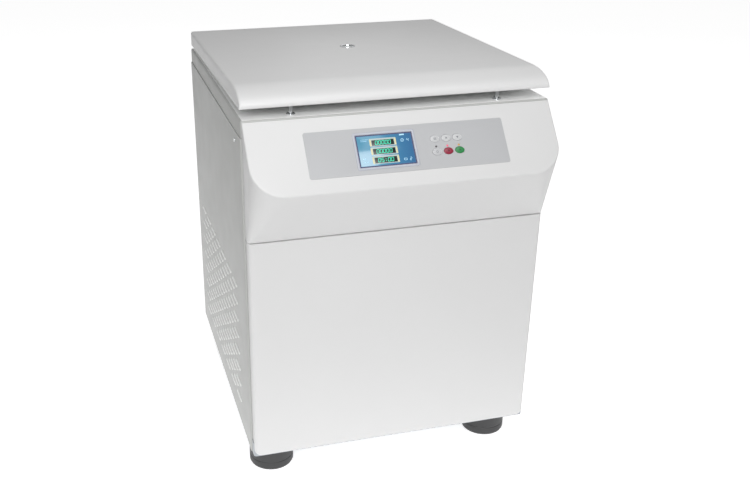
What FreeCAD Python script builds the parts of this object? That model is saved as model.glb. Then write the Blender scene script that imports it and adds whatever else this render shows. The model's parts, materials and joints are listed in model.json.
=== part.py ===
import FreeCAD, Part
import math
import os

import Sketcher

# Floor-standing refrigerated laboratory centrifuge with a swing-out rotor.
# Millimetres. X runs left to right seen from the front, Y runs front to back,
# Z runs up. The origin is on the floor, under the middle of the machine.

Vector = FreeCAD.Vector
Rotation = FreeCAD.Rotation
AXES = {"x": Vector(1, 0, 0), "y": Vector(0, 1, 0), "z": Vector(0, 0, 1)}
LEFT_AND_RIGHT = (("left", -1), ("right", 1))

doc = FreeCAD.newDocument("Centrifuge")
sheet = doc.addObject("Spreadsheet::Sheet", "Sizes")
parts = []


# ---------------------------------------------------------------- sheet

class Amount:
    """A number together with the sheet expression that gives it."""

    def __init__(self, number, text):
        self.number = number
        self.text = text

    def joined(self, sign, other, number):
        return Amount(number, "({} {} {})".format(self.text, sign, text_of(other)))

    def __add__(self, other):
        return self.joined("+", other, self.number + number_of(other))

    def __radd__(self, other):
        return self + other

    def __sub__(self, other):
        return self.joined("-", other, self.number - number_of(other))

    def __rsub__(self, other):
        return -self + other

    def __mul__(self, other):
        return self.joined("*", other, self.number * number_of(other))

    def __rmul__(self, other):
        return self * other

    def __truediv__(self, other):
        return self.joined("/", other, self.number / number_of(other))

    def __neg__(self):
        return Amount(-self.number, "(0 - {})".format(self.text))


def number_of(amount):
    return amount.number if isinstance(amount, Amount) else float(amount)


def text_of(amount):
    return amount.text if isinstance(amount, Amount) else repr(float(amount))


def sine(angle):
    return Amount(math.sin(math.radians(angle.number)), "sin({})".format(angle.text))


def cosine(angle):
    return Amount(math.cos(math.radians(angle.number)), "cos({})".format(angle.text))


def slope_angle(run, rise):
    return Amount(math.degrees(math.atan2(run.number, rise.number)),
                  "atan2({}; {})".format(run.text, rise.text))


def distance(run, rise):
    return Amount(math.hypot(run.number, rise.number),
                  "sqrt({}^2 + {}^2)".format(run.text, rise.text))


def size(alias, number, meaning):
    """Write one driving dimension into the next row of the sheet."""
    row = size.next_row
    size.next_row = row + 1
    sheet.set("A{}".format(row), meaning)
    sheet.set("B{}".format(row), str(number))
    sheet.setAlias("B{}".format(row), alias)
    return Amount(float(number), "Sizes.{}".format(alias))


size.next_row = 1

cab_width = size("cab_width", 620, "cabinet width")
cab_depth = size("cab_depth", 650, "cabinet depth without the console")
foot_height = size("foot_height", 72, "floor to cabinet bottom")
foot_radius = size("foot_radius", 48, "foot radius")
side_height = size("side_height", 692.5, "side panel height")
deck_height = size("deck_height", 29, "deck skirt height")
sheet_metal = size("sheet_metal", 2, "panel thickness")
front_height = size("front_height", 489, "lower front panel height")
front_step = size("front_step", 22.7, "lower front panel proud of the cabinet")
plate_length = size("plate_length", 153, "console plate, along its slope")
plate_tilt = size("plate_tilt", 39.6, "console plate, degrees from upright")
plate_corner = size("plate_corner", 65, "lower corner radius of the console plate")
shell_wall = size("shell_wall", 3, "wall of moulded shells")
overlay_width = size("overlay_width", 393, "membrane overlay width")
overlay_high = size("overlay_high", 91.5, "membrane overlay height along the slope")
overlay_drop = size("overlay_drop", 77.75, "overlay middle, below the plate's top edge")
overlay_skin = size("overlay_skin", 0.8, "overlay thickness")
screen_width = size("screen_width", 111, "visible screen width")
screen_high = size("screen_high", 64, "visible screen height")
screen_shift = size("screen_shift", -44, "screen middle from the cabinet middle")
bezel_rim = size("bezel_rim", 5, "screen bezel width")
key_width = size("key_width", 18.5, "oval key width")
key_high = size("key_high", 13.4, "oval key height")
key_pitch = size("key_pitch", 22.6, "key spacing")
key_first = size("key_first", 54.5, "first key from the cabinet middle")
key_upper = size("key_upper", 64.6, "upper key row below the plate's top edge")
key_lower = size("key_lower", 90.6, "lower key row below the plate's top edge")
key_gap = size("key_gap", 0.3, "play round a key")
led_drop = size("led_drop", 80, "status lamps below the plate's top edge")
led_radius = size("led_radius", 2, "status lamp radius")
vent_length = size("vent_length", 50, "side vent slot length")
vent_high = size("vent_high", 4, "side vent slot height")
vent_pitch_y = size("vent_pitch_y", 70.2, "side vent column spacing")
vent_pitch_z = size("vent_pitch_z", 39.8, "side vent row spacing")
vent_first_y = size("vent_first_y", 121, "first vent behind the panel's front edge")
vent_first_z = size("vent_first_z", 66, "first vent above the cabinet bottom")
screw_back = size("screw_back", 51, "side screw behind the panel's front edge")
screw_drop = size("screw_drop", 20, "side screw below the panel's top edge")
screw_radius = size("screw_radius", 2, "screw shank radius")
rotor_back = size("rotor_back", 355.2, "rotor axis behind the cabinet front edge")
bowl_radius = size("bowl_radius", 225, "chamber inside radius")
bowl_floor = size("bowl_floor", 572, "chamber floor above the ground")
bowl_corner = size("bowl_corner", 40, "chamber floor corner radius")
spindle_radius = size("spindle_radius", 12, "drive spindle radius")
running_gap = size("running_gap", 0.05, "radial play of a shaft in its bearing")
yoke_radius = size("yoke_radius", 152, "rotor yoke radius")
yoke_middle = size("yoke_middle", 690, "trunnion height above the ground")
yoke_thick = size("yoke_thick", 36, "rotor yoke thickness")
trunnion_reach = size("trunnion_reach", 110, "trunnion axis from the rotor axis")
trunnion_radius = size("trunnion_radius", 6, "trunnion pin radius")
bucket_width = size("bucket_width", 76, "bucket outside width")
bucket_wall = size("bucket_wall", 3, "bucket wall")
bucket_drop = size("bucket_drop", 93, "bucket bottom below its trunnion axis")
bucket_rise = size("bucket_rise", 25, "bucket rim above its trunnion axis")
notch_half = size("notch_half", 46.5, "half width of a bucket bay in the yoke")
notch_start = size("notch_start", 62, "bucket bay start from the rotor axis")
hinge_inset = size("hinge_inset", 7.8, "lid hinge axis in front of the cabinet back")
hinge_rise = size("hinge_rise", 7, "lid hinge axis above the deck")
hinge_side = size("hinge_side", 250, "lid hinges from the cabinet middle")
lid_tilt = size("lid_tilt", 0.9, "closed lid slope in degrees, front end high")
lid_width = size("lid_width", 614.4, "lid width")
lid_length = size("lid_length", 633, "lid length")
lid_back = size("lid_back", 8, "lid back edge in front of the hinge axis")
lid_base = size("lid_base", 3.9, "lid underside above the hinge axis")
lid_thick = size("lid_thick", 32.3, "lid thickness")
lid_wall = size("lid_wall", 3, "lid wall")
port_radius = size("port_radius", 17, "view port ring radius")
striker_side = size("striker_side", 207, "lock pins from the cabinet middle")
striker_back = size("striker_back", 25.2, "lock pins behind the cabinet front edge")
striker_radius = size("striker_radius", 3.5, "lock pin radius")
strut_side = size("strut_side", 248, "gas springs from the cabinet middle")
strut_arm_y = size("strut_arm_y", 60, "gas spring stud in front of the hinge axis")
strut_arm_z = size("strut_arm_z", 12, "gas spring stud below the hinge axis")
strut_foot_y = size("strut_foot_y", 25, "gas spring foot in front of the hinge axis")
strut_foot_z = size("strut_foot_z", 235, "gas spring foot below the hinge axis")
mid_level = size("mid_level", 534, "top of the middle deck above the ground")
post_inset = size("post_inset", 7.2, "corner posts inside the cabinet side")
fan_side = size("fan_side", 150, "condenser fan axis from the cabinet middle")
fan_level = size("fan_level", 210, "condenser fan axis above the ground")
doc.recompute()

# Places that follow from the driving dimensions.
console_reach = plate_length * sine(plate_tilt)
half_depth = (cab_depth + console_reach) / 2
cab_front = console_reach - half_depth
cab_back = half_depth
half_width = cab_width / 2
side_top = foot_height + side_height
deck_top = side_top + deck_height
front_face = cab_front - front_step
console_seam = foot_height + front_height
rotor_y = cab_front + rotor_back
hinge_y = cab_back - hinge_inset
hinge_z = deck_top + hinge_rise
striker_y = cab_front + striker_back
plate_lean = -plate_tilt + 90


# ---------------------------------------------------------------- helpers

def bind(thing, name, amount):
    """Set a property to an amount, through the sheet where it comes from there."""
    if isinstance(amount, Amount):
        thing.setExpression(name, amount.text)
    else:
        thing.setExpression(name, repr(float(amount)))


def place(thing, x=0, y=0, z=0, axis="z", turn=0, name="Placement"):
    """Put an object, or a sketch's plane, at a place bound to the sheet."""
    start = Vector(number_of(x), number_of(y), number_of(z))
    placement = FreeCAD.Placement(start, Rotation(AXES[axis], number_of(turn)))
    setattr(thing, name, placement)
    for letter, amount in (("x", x), ("y", y), ("z", z)):
        bind(thing, "{}.Base.{}".format(name, letter), amount)
    if number_of(turn):
        bind(thing, "{}.Rotation.Angle".format(name), turn)
    return thing


def finished(label, thing):
    """Name a sub-part and put it on the list of parts to write."""
    thing.Label = label
    parts.append(thing)
    return thing


def new_body(name):
    return doc.addObject("PartDesign::Body", name)


def origin_plane(body, role):
    return [item for item in body.Origin.OriginFeatures if item.Role == role][0]


def sketch_on(body, role, name, offset=0):
    """A sketch on one of the body's own planes, moved along that plane's normal."""
    sketch = body.newObject("Sketcher::SketchObject", name)
    sketch.AttachmentSupport = [(origin_plane(body, role), "")]
    sketch.MapMode = "FlatFace"
    place(sketch, z=offset, name="AttachmentOffset")
    return sketch


def fix(sketch, kind, geometry, point, amount):
    """Dimension a point of a sketch from the sketch's origin."""
    index = sketch.addConstraint(Sketcher.Constraint(kind, geometry, point, number_of(amount)))
    bind(sketch, "Constraints[{}]".format(index), amount)


def fix_point(sketch, geometry, point, x, y):
    fix(sketch, "DistanceX", geometry, point, x)
    fix(sketch, "DistanceY", geometry, point, y)


def fix_radius(sketch, geometry, amount):
    index = sketch.addConstraint(Sketcher.Constraint("Radius", geometry, number_of(amount)))
    bind(sketch, "Constraints[{}]".format(index), amount)


def corner_arc(before, corner, after, radius):
    """The arc of a radius that rounds the corner between two straight edges."""
    back = (before - corner).normalize()
    ahead = (after - corner).normalize()
    half = back.getAngle(ahead) / 2
    reach = radius / math.tan(half)
    middle = (back + ahead).normalize()
    crown = corner + middle * (radius / math.sin(half) - radius)
    return corner + back * reach, crown, corner + ahead * reach


def outline(sketch, corners):
    """A closed outline of (x, y, corner radius), each corner bound to the sheet."""
    points = [Vector(number_of(x), number_of(y), 0) for x, y, radius in corners]
    count = len(points)
    arcs = []
    for i, (x, y, radius) in enumerate(corners):
        if number_of(radius) > 0:
            after = points[(i + 1) % count]
            arcs.append(corner_arc(points[i - 1], points[i], after, number_of(radius)))
        else:
            arcs.append((points[i], None, points[i]))
    lines = []
    for i in range(count):
        edge = Part.LineSegment(arcs[i][2], arcs[(i + 1) % count][0])
        lines.append(sketch.addGeometry(edge, False))
    for i, (x, y, radius) in enumerate(corners):
        if arcs[i][1] is None:
            sketch.addConstraint(Sketcher.Constraint("Coincident", lines[i - 1], 2, lines[i], 1))
            fix_point(sketch, lines[i], 1, x, y)
        else:
            round_corner(sketch, lines[i - 1], lines[i], arcs[i], points[i], (x, y, radius))


def round_corner(sketch, line_in, line_out, arc_points, corner_point, corner):
    """Join two edges with a tangent arc and hold the sharp corner they would meet at."""
    x, y, radius = corner
    start, crown, end = arc_points
    runs_left = (crown - start).cross(end - crown).z > 0
    curve = Part.Arc(start, crown, end) if runs_left else Part.Arc(end, crown, start)
    first, last = (1, 2) if runs_left else (2, 1)
    arc = sketch.addGeometry(curve, False)
    sketch.addConstraint(Sketcher.Constraint("Tangent", line_in, 2, arc, first))
    sketch.addConstraint(Sketcher.Constraint("Tangent", arc, last, line_out, 1))
    fix_radius(sketch, arc, radius)
    sharp = sketch.addGeometry(Part.Point(corner_point), True)
    fix_point(sketch, sharp, 1, x, y)
    sketch.addConstraint(Sketcher.Constraint("PointOnObject", sharp, 1, line_in))
    sketch.addConstraint(Sketcher.Constraint("PointOnObject", sharp, 1, line_out))


def rectangle(sketch, x0, y0, x1, y1, radius=0):
    outline(sketch, [(x0, y0, radius), (x1, y0, radius), (x1, y1, radius), (x0, y1, radius)])


def circle(sketch, x, y, radius):
    middle = Vector(number_of(x), number_of(y), 0)
    ring = sketch.addGeometry(Part.Circle(middle, AXES["z"], number_of(radius)), False)
    fix_radius(sketch, ring, radius)
    fix_point(sketch, ring, 3, x, y)


def oval(sketch, x, y, length, height):
    """A slot shape: two straight edges and two half circles."""
    reach = (length - height) / 2
    radius = height / 2
    px, py, pr, pe = (number_of(amount) for amount in (x, y, radius, reach))
    top = Part.LineSegment(Vector(px + pe, py + pr, 0), Vector(px - pe, py + pr, 0))
    low = Part.LineSegment(Vector(px - pe, py - pr, 0), Vector(px + pe, py - pr, 0))
    left = Part.ArcOfCircle(Part.Circle(Vector(px - pe, py, 0), AXES["z"], pr),
                            math.pi / 2, 3 * math.pi / 2)
    right = Part.ArcOfCircle(Part.Circle(Vector(px + pe, py, 0), AXES["z"], pr),
                             -math.pi / 2, math.pi / 2)
    edges = [sketch.addGeometry(edge, False) for edge in (top, left, low, right)]
    for i in range(4):
        joint = Sketcher.Constraint("Tangent", edges[i], 2, edges[(i + 1) % 4], 1)
        sketch.addConstraint(joint)
    fix_radius(sketch, edges[1], radius)
    fix_radius(sketch, edges[3], radius)
    fix_point(sketch, edges[1], 3, x - reach, y)
    fix_point(sketch, edges[3], 3, x + reach, y)


def pad(body, sketch, length, backwards=False):
    feature = body.newObject("PartDesign::Pad", sketch.Name + "Pad")
    feature.Profile = sketch
    feature.Reversed = backwards
    bind(feature, "Length", length)
    doc.recompute()
    return feature


def pocket(body, sketch, length, backwards=False):
    """Cut a sketch into the body, and stop if nothing was cut away."""
    before = body.Shape.Volume
    feature = body.newObject("PartDesign::Pocket", sketch.Name + "Pocket")
    feature.Profile = sketch
    feature.Reversed = backwards
    bind(feature, "Length", length)
    doc.recompute()
    if body.Shape.Volume > before - 0.1:
        raise RuntimeError("{} cuts nothing".format(sketch.Name))
    return feature


def spread(body, feature, sketch, first, second):
    """Repeat a feature in rows and columns: each direction is (pitch, count)."""
    grid = body.newObject("PartDesign::MultiTransform", sketch.Name + "Grid")
    grid.Originals = [feature]
    steps = []
    for axis, (pitch, count) in (("H_Axis", first), ("V_Axis", second)):
        step = body.newObject("PartDesign::LinearPattern", sketch.Name + axis[0] + "Step")
        step.Direction = (sketch, [axis])
        step.Occurrences = count
        bind(step, "Length", pitch * (count - 1))
        steps.append(step)
    grid.Transformations = steps
    body.Tip = grid
    doc.recompute()


def turned(name, profile):
    """A body turned about its own Z axis from a profile of (radius, height, rounding)."""
    body = new_body(name)
    sketch = sketch_on(body, "XZ_Plane", name + "Profile")
    outline(sketch, profile)
    feature = body.newObject("PartDesign::Revolution", name + "Turn")
    feature.Profile = sketch
    feature.ReferenceAxis = (sketch, ["V_Axis"])
    feature.Angle = 360
    doc.recompute()
    return body


def box(name, low, high):
    """A Part box between two corners."""
    solid = doc.addObject("Part::Box", name)
    for side, start, end in zip(("Length", "Width", "Height"), low, high):
        bind(solid, side, end - start)
    return place(solid, *low)


def cylinder(name, radius, start, length, axis="z"):
    """A Part cylinder from a start point along one axis."""
    solid = doc.addObject("Part::Cylinder", name)
    bind(solid, "Radius", radius)
    bind(solid, "Height", length)
    turned_about, turn = {"x": ("y", 90), "y": ("x", -90), "z": ("z", 0)}[axis]
    return place(solid, *start, axis=turned_about, turn=turn)


def joined(name, solids):
    whole = doc.addObject("Part::MultiFuse", name)
    whole.Shapes = solids
    return whole


def cut(name, base, tools):
    whole = doc.addObject("Part::Cut", name)
    whole.Base = base
    whole.Tool = tools[0] if len(tools) == 1 else joined(name + "Tools", tools)
    return whole


def group(name, solids):
    """Separate solids that share one node."""
    whole = doc.addObject("Part::Compound", name)
    whole.Links = solids
    return whole


# ---------------------------------------------------------------- chassis

def make_base_pan():
    """Folded steel tray that the posts, feet and refrigeration parts stand on."""
    body = new_body("BasePan")
    tray = sketch_on(body, "XY_Plane", "BasePanOutline", foot_height)
    edge = half_width - sheet_metal * 2
    rectangle(tray, -edge, front_face + 4, edge, cab_back - 6, 6)
    pad(body, tray, 32)
    hollow = sketch_on(body, "XY_Plane", "BasePanHollow", foot_height + 3)
    rectangle(hollow, -(edge - 3), front_face + 7, edge - 3, cab_back - 9, 4)
    pocket(body, hollow, 40, backwards=True)
    finished("base_pan", body)


def make_corner_posts():
    """Four square tubes from the base pan to the underside of the deck."""
    post = 28
    low_z = foot_height + 3
    high_z = deck_top - sheet_metal
    posts = []
    for side_name, side in LEFT_AND_RIGHT:
        outer = side * (half_width - post_inset)
        inner = side * (half_width - post_inset - post)
        x0, x1 = (outer, inner) if side < 0 else (inner, outer)
        for end_name, y0 in (("Front", cab_front + 4), ("Rear", cab_back - 12 - post)):
            name = "Post" + side_name.title() + end_name
            solid = box(name + "Tube", (x0, y0, low_z), (x1, y0 + post, high_z))
            bore = box(name + "Bore", (x0 + 2, y0 + 2, low_z - 1),
                       (x1 - 2, y0 + post - 2, high_z + 1))
            posts.append(cut(name, solid, [bore]))
    finished("corner_posts", group("CornerPosts", posts))


def make_mid_deck():
    """Steel plate that carries the chamber guard and hangs the motor under it."""
    body = new_body("MidDeck")
    plate = sketch_on(body, "XY_Plane", "MidDeckOutline", mid_level - 6)
    side = half_width - 4
    notch = half_width - post_inset - 30
    front = cab_front + 3
    back = cab_back - 11
    outline(plate, [
        (-notch, front, 0), (notch, front, 0), (notch, front + 30, 0), (side, front + 30, 0),
        (side, back - 30, 0), (notch, back - 30, 0), (notch, back, 0), (-notch, back, 0),
        (-notch, back - 30, 0), (-side, back - 30, 0), (-side, front + 30, 0),
        (-notch, front + 30, 0)])
    pad(body, plate, 6)
    hole = sketch_on(body, "XY_Plane", "MidDeckHole", mid_level)
    circle(hole, 0, rotor_y, 95)
    pocket(body, hole, 10)
    finished("mid_deck", body)


def make_feet():
    """Four broad rubber-faced feet with a moulded rim."""
    feet = []
    ends = (("Front", cab_front + 68.3, half_width - 58), ("Rear", cab_back - 68.3, half_width - 72))
    for end_name, y, reach in ends:
        for side_name, side in LEFT_AND_RIGHT:
            foot = turned("Foot" + end_name + side_name.title(), [
                (0, 0, 0), (foot_radius - 1, 0, 4), (foot_radius, 16, 0),
                (foot_radius, foot_height, 1.5), (0, foot_height, 0)])
            feet.append(place(foot, side * reach, y, 0))
    finished("feet", group("Feet", feet))


# ---------------------------------------------------------------- panels

def make_side_panel(side_name, side):
    """Sheet panel with folded edges and a brick pattern of air slots."""
    name = "SidePanel" + side_name.title()
    body = new_body(name)
    inner_face = half_width - sheet_metal if side > 0 else -half_width
    sheet_sketch = sketch_on(body, "YZ_Plane", name + "Sheet", inner_face)
    rectangle(sheet_sketch, cab_front, foot_height, cab_back, side_top)
    pad(body, sheet_sketch, sheet_metal)
    fold = sketch_on(body, "YZ_Plane", name + "Fold",
                     half_width - sheet_metal if side > 0 else -half_width + sheet_metal)
    rectangle(fold, cab_front, foot_height, cab_back, side_top)
    rectangle(fold, cab_front + sheet_metal, foot_height + sheet_metal,
              cab_back - sheet_metal, side_top - sheet_metal)
    pad(body, fold, sheet_metal, backwards=side > 0)
    outer_face = half_width if side > 0 else -half_width
    hole = sketch_on(body, "YZ_Plane", name + "ScrewHole", outer_face)
    circle(hole, cab_front + screw_back, side_top - screw_drop, screw_radius + 0.1)
    pocket(body, hole, sheet_metal, backwards=side < 0)
    rows = (("Full", 0, 7, 8), ("Half", 1, 6, 7))
    for row_name, shift, columns, lines in rows:
        slots = sketch_on(body, "YZ_Plane", name + row_name, outer_face)
        oval(slots, cab_front + vent_first_y + shift * vent_pitch_y / 2,
             foot_height + vent_first_z + shift * vent_pitch_z / 2, vent_length, vent_high)
        slot = pocket(body, slots, sheet_metal, backwards=side < 0)
        spread(body, slot, slots, (vent_pitch_y, columns), (vent_pitch_z, lines))
    finished("side_panel_" + side_name, body)


def make_rear_panel():
    """Back panel with exhaust slots behind the condenser and the inlet cutout."""
    body = new_body("RearPanel")
    outer_face = cab_back - 3
    sheet_sketch = sketch_on(body, "XZ_Plane", "RearSheet", -outer_face)
    edge = half_width - sheet_metal - 2.5
    rectangle(sheet_sketch, -edge, foot_height + 1, edge, side_top)
    pad(body, sheet_sketch, sheet_metal)
    slots = sketch_on(body, "XZ_Plane", "RearVents", -outer_face)
    oval(slots, fan_side - 60, fan_level - 90, 90, 6)
    slot = pocket(body, slots, sheet_metal * 2, backwards=True)
    spread(body, slot, slots, (120, 2), (20, 10))
    inlet = sketch_on(body, "XZ_Plane", "RearInlet", -outer_face)
    rectangle(inlet, -231, 144, -139, 176)
    pocket(body, inlet, sheet_metal * 2, backwards=True)
    finished("rear_panel", body)


def make_lower_front_panel():
    """Moulded lower front with rounded upright edges and an open back."""
    body = new_body("LowerFront")
    outer = sketch_on(body, "XY_Plane", "LowerFrontOuter", foot_height)
    outline(outer, [(-half_width, front_face, 8), (half_width, front_face, 8),
                    (half_width, cab_front, 0), (-half_width, cab_front, 0)])
    pad(body, outer, front_height)
    inner = sketch_on(body, "XY_Plane", "LowerFrontInner", foot_height)
    edge = half_width - shell_wall
    outline(inner, [(-edge, front_face + shell_wall, 5), (edge, front_face + shell_wall, 5),
                    (edge, cab_front + 1, 0), (-edge, cab_front + 1, 0)])
    pocket(body, inner, front_height - shell_wall, backwards=True)
    finished("lower_front_panel", body)


# ---------------------------------------------------------------- console

def on_console(body, name):
    """A sketch on the sloping console face: x across, y up the slope from its top edge."""
    sketch = sketch_on(body, "XY_Plane", name)
    place(sketch, 0, cab_front, deck_top, "x", plate_lean, "AttachmentOffset")
    return sketch


def put_on_console(thing):
    """Stand a part modelled flat on the console face."""
    return place(thing, 0, cab_front, deck_top, "x", plate_lean)


def loft_pair(body, name, inset, kind):
    """Ruled loft from the sloping face outline down to the seam outline."""
    face = on_console(body, name + "Face")
    edge = half_width - inset
    corner = plate_corner - inset
    outline(face, [(-edge, inset - plate_length, corner), (edge, inset - plate_length, corner),
                   (edge, -inset, 0), (-edge, -inset, 0)])
    if inset:
        place(face, 0, cab_front + inset * cosine(plate_tilt), deck_top - inset * sine(plate_tilt),
              "x", plate_lean, "AttachmentOffset")
    seam = sketch_on(body, "XY_Plane", name + "Seam", console_seam)
    front = front_face + inset
    outline(seam, [(-edge, front, 8), (edge, front, 8), (edge, cab_front + inset / 2, 0),
                   (-edge, cab_front + inset / 2, 0)])
    loft = body.newObject(kind, name)
    loft.Profile = face
    loft.Sections = [seam]
    loft.Ruled = True
    doc.recompute()


def key_places():
    """Name, x and y on the console face of each key."""
    names = (("key_menu", "key_up", "key_down"), ("key_set", "key_stop", "key_start"))
    for row, drop in zip(names, (key_upper, key_lower)):
        for column, label in enumerate(row):
            yield label, key_first + column * key_pitch, -drop


def make_console_housing():
    """Hollow moulded console: sloping face, rounded lower corners and a chin."""
    body = new_body("Console")
    loft_pair(body, "ConsoleOuter", 0, "PartDesign::AdditiveLoft")
    loft_pair(body, "ConsoleInner", shell_wall, "PartDesign::SubtractiveLoft")
    window = on_console(body, "ConsoleWindow")
    rectangle(window, screen_shift - screen_width / 2 - 0.5, -overlay_drop - screen_high / 2 - 0.5,
              screen_shift + screen_width / 2 + 0.5, -overlay_drop + screen_high / 2 + 0.5)
    pocket(body, window, shell_wall * 2)
    holes = on_console(body, "ConsoleHoles")
    for label, x, y in key_places():
        oval(holes, x, y, key_width + key_gap * 2, key_high + key_gap * 2)
    for column in range(3):
        circle(holes, key_first + column * key_pitch, -led_drop, led_radius + 0.1)
    pocket(body, holes, shell_wall * 2)
    finished("console_housing", body)


def make_control_overlay():
    """Thin membrane sheet on the console face with openings for screen and keys."""
    body = new_body("Overlay")
    skin = sketch_on(body, "XY_Plane", "OverlaySkin")
    low = -overlay_drop - overlay_high / 2
    rectangle(skin, -overlay_width / 2, low, overlay_width / 2, low + overlay_high, 4)
    rim = bezel_rim + 0.1
    rectangle(skin, screen_shift - screen_width / 2 - rim, -overlay_drop - screen_high / 2 - rim,
              screen_shift + screen_width / 2 + rim, -overlay_drop + screen_high / 2 + rim, 4)
    for label, x, y in key_places():
        oval(skin, x, y, key_width + key_gap * 2, key_high + key_gap * 2)
    for column in range(3):
        circle(skin, key_first + column * key_pitch, -led_drop, led_radius + 0.1)
    pad(body, skin, overlay_skin)
    finished("control_overlay", put_on_console(body))


def make_display():
    """Raised bezel frame and the flat screen module behind it."""
    bezel = new_body("Bezel")
    frame = sketch_on(bezel, "XY_Plane", "BezelFrame")
    x0 = screen_shift - screen_width / 2
    y0 = -overlay_drop - screen_high / 2
    rectangle(frame, x0 - bezel_rim, y0 - bezel_rim, x0 + screen_width + bezel_rim,
              y0 + screen_high + bezel_rim, 4)
    rectangle(frame, x0, y0, x0 + screen_width, y0 + screen_high)
    pad(bezel, frame, overlay_skin * 2)
    finished("display_bezel", put_on_console(bezel))
    screen = new_body("Screen")
    panel = sketch_on(screen, "XY_Plane", "ScreenPanel", -5)
    rectangle(panel, x0 + 0.2, y0 + 0.2, x0 + screen_width - 0.2, y0 + screen_high - 0.2)
    pad(screen, panel, 5.4)
    finished("lcd_screen", put_on_console(screen))


def make_keys():
    """Six oval keys, each with a flange that holds it behind the console face."""
    for label, x, y in key_places():
        name = label.title().replace("_", "")
        body = new_body(name)
        cap = sketch_on(body, "XY_Plane", name + "Cap", -6)
        oval(cap, x, y, key_width, key_high)
        pad(body, cap, 7.8)
        rim = sketch_on(body, "XY_Plane", name + "Rim", -6)
        oval(rim, x, y, key_width + 3, key_high + 3)
        pad(body, rim, 1.5)
        finished(label, put_on_console(body))


def make_status_lamps():
    """Three small domed lamps over the lower key row."""
    lamps = []
    for column in range(3):
        name = "Lamp{}".format(column + 1)
        lamp = turned(name, [(0, -4, 0), (led_radius, -4, 0), (led_radius, 1.4, 0.8), (0, 1.4, 0)])
        flat = group(name + "Flat", [place(lamp, key_first + column * key_pitch, -led_drop, 0)])
        lamps.append(put_on_console(flat))
    finished("status_lamps", group("StatusLamps", lamps))


def make_control_board():
    """Circuit board behind the console with its standoffs and a connector block."""
    board = box("BoardSheet", (-150, -130, -24), (150, -30, -22.4))
    posts = [cylinder("BoardPost{}".format(i + 1), 3, (x, y, -22.4), 19.4)
             for i, (x, y) in enumerate(((-140, -120), (140, -120), (-140, -40), (140, -40)))]
    block = box("BoardBlock", (-120, -60, -36), (-60, -40, -24))
    whole = joined("ControlBoard", [board, block] + posts)
    finished("control_board", put_on_console(whole))


# ---------------------------------------------------------------- deck and chamber

def make_top_deck():
    """Deck with folded skirts, the chamber mouth, lock holes and spring slots."""
    body = new_body("TopDeck")
    outer = sketch_on(body, "XY_Plane", "DeckOuter", side_top)
    rectangle(outer, -half_width, cab_front, half_width, cab_back, 3)
    pad(body, outer, deck_height)
    inner = sketch_on(body, "XY_Plane", "DeckInner", side_top)
    edge = half_width - sheet_metal
    rectangle(inner, -edge, cab_front + sheet_metal, edge, cab_back - sheet_metal, 1)
    pocket(body, inner, deck_height - sheet_metal, backwards=True)
    holes = sketch_on(body, "XY_Plane", "DeckHoles", deck_top)
    circle(holes, 0, rotor_y, bowl_radius + 1)
    for side_name, side in LEFT_AND_RIGHT:
        circle(holes, side * striker_side, striker_y, striker_radius + 4)
        slot_x = side * strut_side
        rectangle(holes, slot_x - 14, hinge_y - strut_arm_y - 16, slot_x + 14, hinge_y - 14)
    pocket(body, holes, deck_height)
    finished("top_deck", body)


def make_chamber():
    """Stainless bowl, its cooling coil, foam jacket, steel guard and mouth seal."""
    under_deck = deck_top - sheet_metal
    floor = bowl_floor - 2
    bowl = turned("Bowl", [
        (34, floor, 0), (bowl_radius + 2, floor, bowl_corner + 2), (bowl_radius + 2, under_deck - 2, 0),
        (bowl_radius + 15, under_deck - 2, 0), (bowl_radius + 15, under_deck, 0),
        (bowl_radius, under_deck, 0), (bowl_radius, bowl_floor, bowl_corner), (34, bowl_floor, 0)])
    finished("rotor_chamber", place(bowl, 0, rotor_y, 0))
    make_cooling_coil()
    jacket_in = bowl_radius + 14
    jacket_out = bowl_radius + 33
    jacket = turned("Jacket", [
        (60, floor - 20, 0), (jacket_out, floor - 20, 15), (jacket_out, under_deck - 4, 0),
        (jacket_in, under_deck - 4, 0), (jacket_in, floor - 1, 0), (60, floor - 1, 0)])
    finished("insulation_jacket", place(jacket, 0, rotor_y, 0))
    guard = turned("Guard", [
        (jacket_out + 2, mid_level, 0), (jacket_out + 8, mid_level, 0),
        (jacket_out + 8, under_deck - 6, 0), (jacket_out + 2, under_deck - 6, 0)])
    finished("guard_ring", place(guard, 0, rotor_y, 0))
    seal = turned("Seal", [
        (bowl_radius + 3, deck_top, 0), (bowl_radius + 17, deck_top, 0),
        (bowl_radius + 17, deck_top + 2, 0), (bowl_radius + 10, deck_top + 5, 2),
        (bowl_radius + 3, deck_top + 5, 1.5)])
    finished("chamber_gasket", place(seal, 0, rotor_y, 0))


def make_cooling_coil():
    """Copper turns round the bowl, joined by two upright headers."""
    tube = 5
    reach = bowl_radius + 2.3 + tube
    turns = 8
    pieces = []
    for i in range(turns):
        ring = doc.addObject("Part::Torus", "CoilTurn{}".format(i + 1))
        bind(ring, "Radius1", reach)
        bind(ring, "Radius2", tube)
        pieces.append(place(ring, 0, rotor_y, bowl_floor + bowl_corner + 8 + 20 * i))
    for side_name, side in LEFT_AND_RIGHT:
        pieces.append(cylinder("CoilHeader" + side_name.title(), 3.5,
                               (side * reach, rotor_y, bowl_floor + bowl_corner + 8), 20 * (turns - 1)))
    finished("evaporator_coil", joined("EvaporatorCoil", pieces))


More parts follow.
